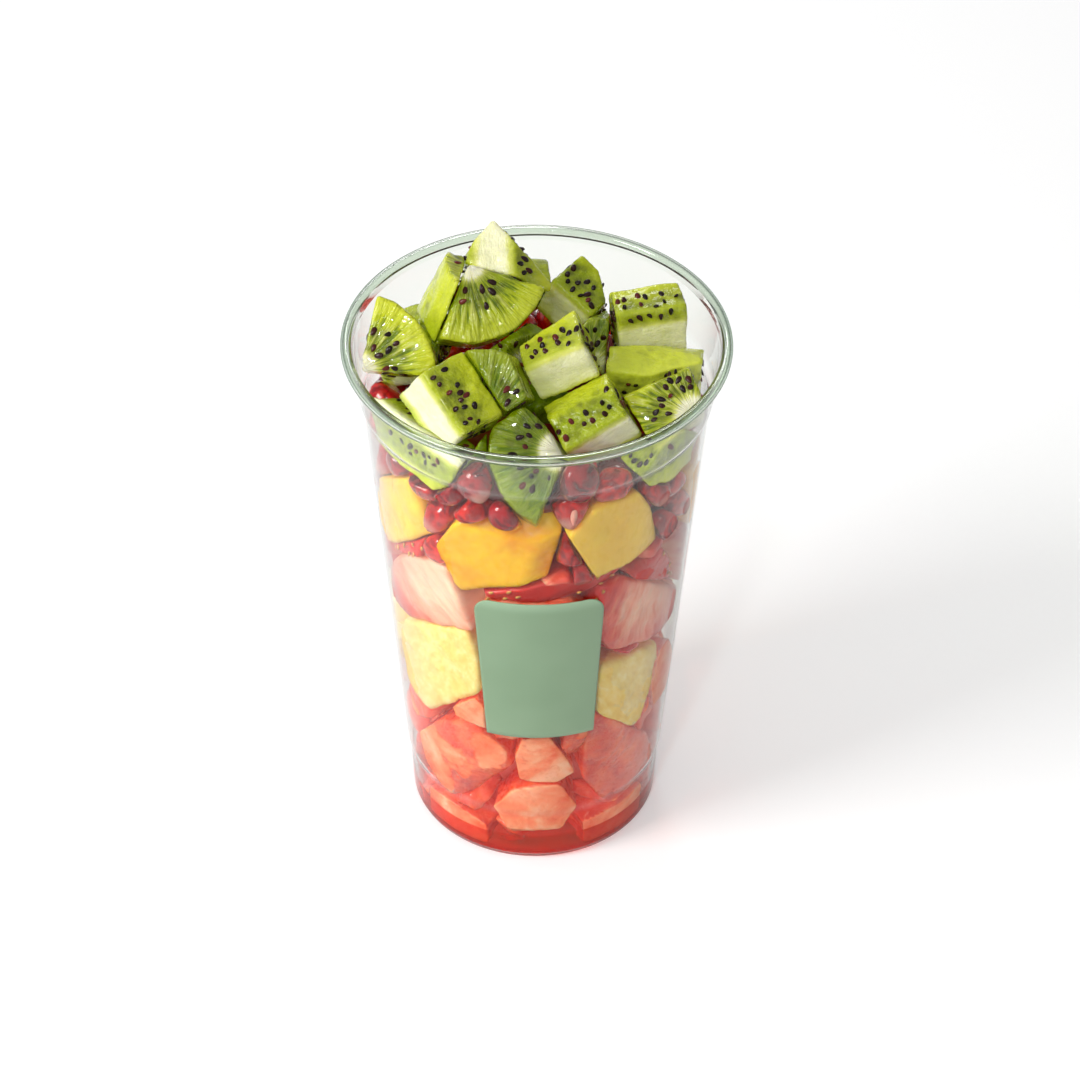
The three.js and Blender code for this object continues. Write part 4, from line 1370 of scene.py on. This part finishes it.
def cup_profile():
    bead = (RIM_RADIUS - RIM_BEAD, HEIGHT - RIM_BEAD)
    foot = [(0.01, 2), (20, 2), (28.6, 2), (29.5, 0), (31.4, 0), (32.6, 0.7)]
    outside = [(r, z) for z, r in WALL]
    inside = [(r - SHEET, z + 0.1) for z, r in WALL[::-1]]
    curl_in = arc(*bead, RIM_BEAD - SHEET, 180, -115, 10)
    curl_out = arc(*bead, RIM_BEAD, -115, 180, 20)
    floor = [(31.8, SHEET + 0.6), (31.2, SHEET), (29.9, SHEET)]
    floor += [(r, 2 + SHEET) for r in (29.0, 20, 0.01)]
    return eased(foot + outside, 0.9) + curl_in + curl_out + eased(inside + floor, 0.9)


# The cup's plastic, its rim's and its band's: the tint, the tint seen edge on, from where to where
# it turns to that, the tint of the lamps' light through it, its index and how clear it is. The
# tint seen edge on is partly painted shade, for the dark lines along the wall's edges and the rim.
PLASTICS = {
    "clear_plastic": (
        (0.92, 0.935, 0.915), (0.4, 0.42, 0.41), (0.5, 1.0), (0.94, 0.96, 0.94), 1.22, 1.0,
    ),
    "clear_plastic_rim": (
        (0.8, 0.86, 0.78), (0.03, 0.1, 0.04), (0.2, 0.75), (0.9, 0.95, 0.9), 1.4, 1.0,
    ),
    "clear_plastic_band": (
        (0.92, 0.935, 0.9), (0.4, 0.42, 0.41), (0.5, 1.0), (0.94, 0.96, 0.94), 1.22, 0.96,
    ),
}
RIM_FROM = 46.3  # the radius outside which the top of the cup is its rolled rim


def make_cup():
    points, quads = capped(cup_profile(), 256)
    clear, *others = (clear_look(name, *how) for name, how in PLASTICS.items())
    obj = make_object("cup_shell", points, quads, clear, ("cup",), "cup")
    for material in others:
        obj.data.materials.append(material)
    for face in obj.data.polygons:
        if face.center.z > (HEIGHT - 2 * RIM_BEAD - 0.4) * MM and face.center.xy.length > RIM_FROM * MM:
            face.material_index = 1
        elif face.center.z > BAND_LOW * MM:
            face.material_index = 2


def make_juice():
    z = np.linspace(2.75, JUICE_LEVEL, 8)
    into = 0.12
    side = [(inner_radius(h) + into, h) for h in z]
    channel = [(29.0, 2.5), (29.9, 0.5), (31.2, 0.5), (31.9, 1.1)]
    rows = [(0.01, 2.5), (20, 2.5), *channel, *side, (inner_radius(JUICE_LEVEL) - 0.7, JUICE_LEVEL - 0.35)]
    rows += [(20, JUICE_LEVEL - 0.4), (0.01, JUICE_LEVEL - 0.4)]
    points, quads = capped(rows, 192)
    make_object("juice", points, quads, juice_look())


def make_label():
    """A thin patch bent round the wall; its two top corners are rounded."""
    columns, rows = 48, 60
    heights = LABEL["high"] - (LABEL["high"] - LABEL["low"]) * np.linspace(0, 1, rows + 1) ** 1.6
    points = []
    for out in (GAP, GAP + 0.25):
        for z in heights:
            bend = max(0.0, 1 - (LABEL["high"] - z) / LABEL["corner"])
            cut = math.degrees(LABEL["corner"] / 43) * (1 - math.sqrt(max(0.0, 1 - bend * bend)))
            slope = LABEL["narrow"] * (LABEL["high"] - z) / 2
            start = LABEL["left"] + cut + slope
            stop = LABEL["right"] - cut - slope * 0.3
            points += [beside(angle, z, -SHEET - out) for angle in np.linspace(start, stop, columns + 1)]
    points = np.array(points)
    row, sheet = columns + 1, (columns + 1) * (rows + 1)
    i, j = grid(columns, rows)
    a = j * row + i
    inner = np.stack([a, a + 1, a + row + 1, a + row], 1)
    outer = inner[:, ::-1] + sheet
    i, j = np.arange(columns), np.arange(rows)
    top = np.stack([i, i + sheet, i + 1 + sheet, i + 1], 1)
    low = top[:, ::-1] + rows * row
    left = np.stack([j * row, (j + 1) * row, (j + 1) * row + sheet, j * row + sheet], 1)
    right = left[:, ::-1] + columns
    quads = np.vstack([inner, outer, top, low, left, right])
    make_object("label_patch", points, quads[:, ::-1], label_look(), ("label",), "label")


# ------------------------------------------------------------------ studio
# Each lamp's place, size and power, and where they all point.
LAMPS = {
    "key": ((-0.62, -0.3, 0.62), 0.3, 4.6),
    "glint": ((-0.12, -0.62, 0.86), 0.05, 1.3),
    "fill": ((0.55, -0.8, 0.6), 0.9, 0.65),
    "back": ((-0.1, 0.9, 0.7), 0.24, 1.5),
}
LAMPS_AIM = Vector((0, 0, 0.08))
# The camera: how far it stands above level and leans, in degrees, what it looks at, in mm, how far
# off that is, in m, and its lens and sensor, in mm.
CAMERA = {"rise": 40.5, "roll": 0.41, "aim": (1.17, 0, 85.4), "away": 0.9, "lens": 114.7, "sensor": 36}
FLOOR_HALF = 2.0


def make_studio():
    scene = bpy.context.scene
    mesh = bpy.data.meshes.new("floor")
    around = ((-1, -1), (1, -1), (1, 1), (-1, 1))
    mesh.from_pydata([(x * FLOOR_HALF, y * FLOOR_HALF, 0) for x, y in around], [], [(0, 1, 2, 3)])
    floor = bpy.data.objects.new("floor", mesh)
    scene.collection.objects.link(floor)
    look = Look("floor_paper", Roughness=0.9)
    look.set("Base Color", (0.93, 0.93, 0.93))
    look.set("Emission Color", (1, 1, 1))
    look.set("Emission Strength", 0.27)
    mesh.materials.append(look.material)

    world = bpy.data.worlds.new("studio")
    world.use_nodes = True
    sky = world.node_tree
    way = sky.nodes.new("ShaderNodeSeparateXYZ")
    sky.links.new(sky.nodes.new("ShaderNodeTexCoord").outputs["Generated"], way.inputs[0])
    fade = sky.nodes.new("ShaderNodeMapRange")
    for socket, number in zip(fade.inputs[1:5], (-0.8, 0.8, 0.56, 0.3)):
        socket.default_value = number
    sky.links.new(way.outputs["X"], fade.inputs[0])
    sky.links.new(fade.outputs[0], sky.nodes["Background"].inputs[1])
    sky.nodes["Background"].inputs[0].default_value = (1, 1, 1, 1)
    scene.world = world

    for name, (place, size, power) in LAMPS.items():
        lamp = bpy.data.lights.new(name, "AREA")
        lamp.size = size
        lamp.energy = power
        obj = bpy.data.objects.new(name, lamp)
        obj.location = place
        obj.rotation_euler = (LAMPS_AIM - Vector(place)).to_track_quat("-Z", "Y").to_euler()
        scene.collection.objects.link(obj)

    data = bpy.data.cameras.new("camera")
    data.sensor_width = CAMERA["sensor"]
    data.lens = CAMERA["lens"]
    camera = bpy.data.objects.new("camera", data)
    tilt = Matrix.Rotation(math.radians(90 - CAMERA["rise"]), 4, "X")
    tilt @= Matrix.Rotation(math.radians(CAMERA["roll"]), 4, "Z")
    aim = Matrix.Translation(Vector(CAMERA["aim"]) * MM)
    camera.matrix_world = aim @ tilt @ Matrix.Translation((0, 0, CAMERA["away"]))
    scene.collection.objects.link(camera)
    scene.camera = camera
    scene.view_settings.view_transform = "Standard"


fruit = all_pieces()
make_kiwis(fruit)
make_mango(fruit)
make_pineapple(fruit)
make_watermelon(fruit)
make_strawberry(fruit)
make_arils(fruit)
make_cores()
make_juice()
make_label()
make_cup()
make_studio()
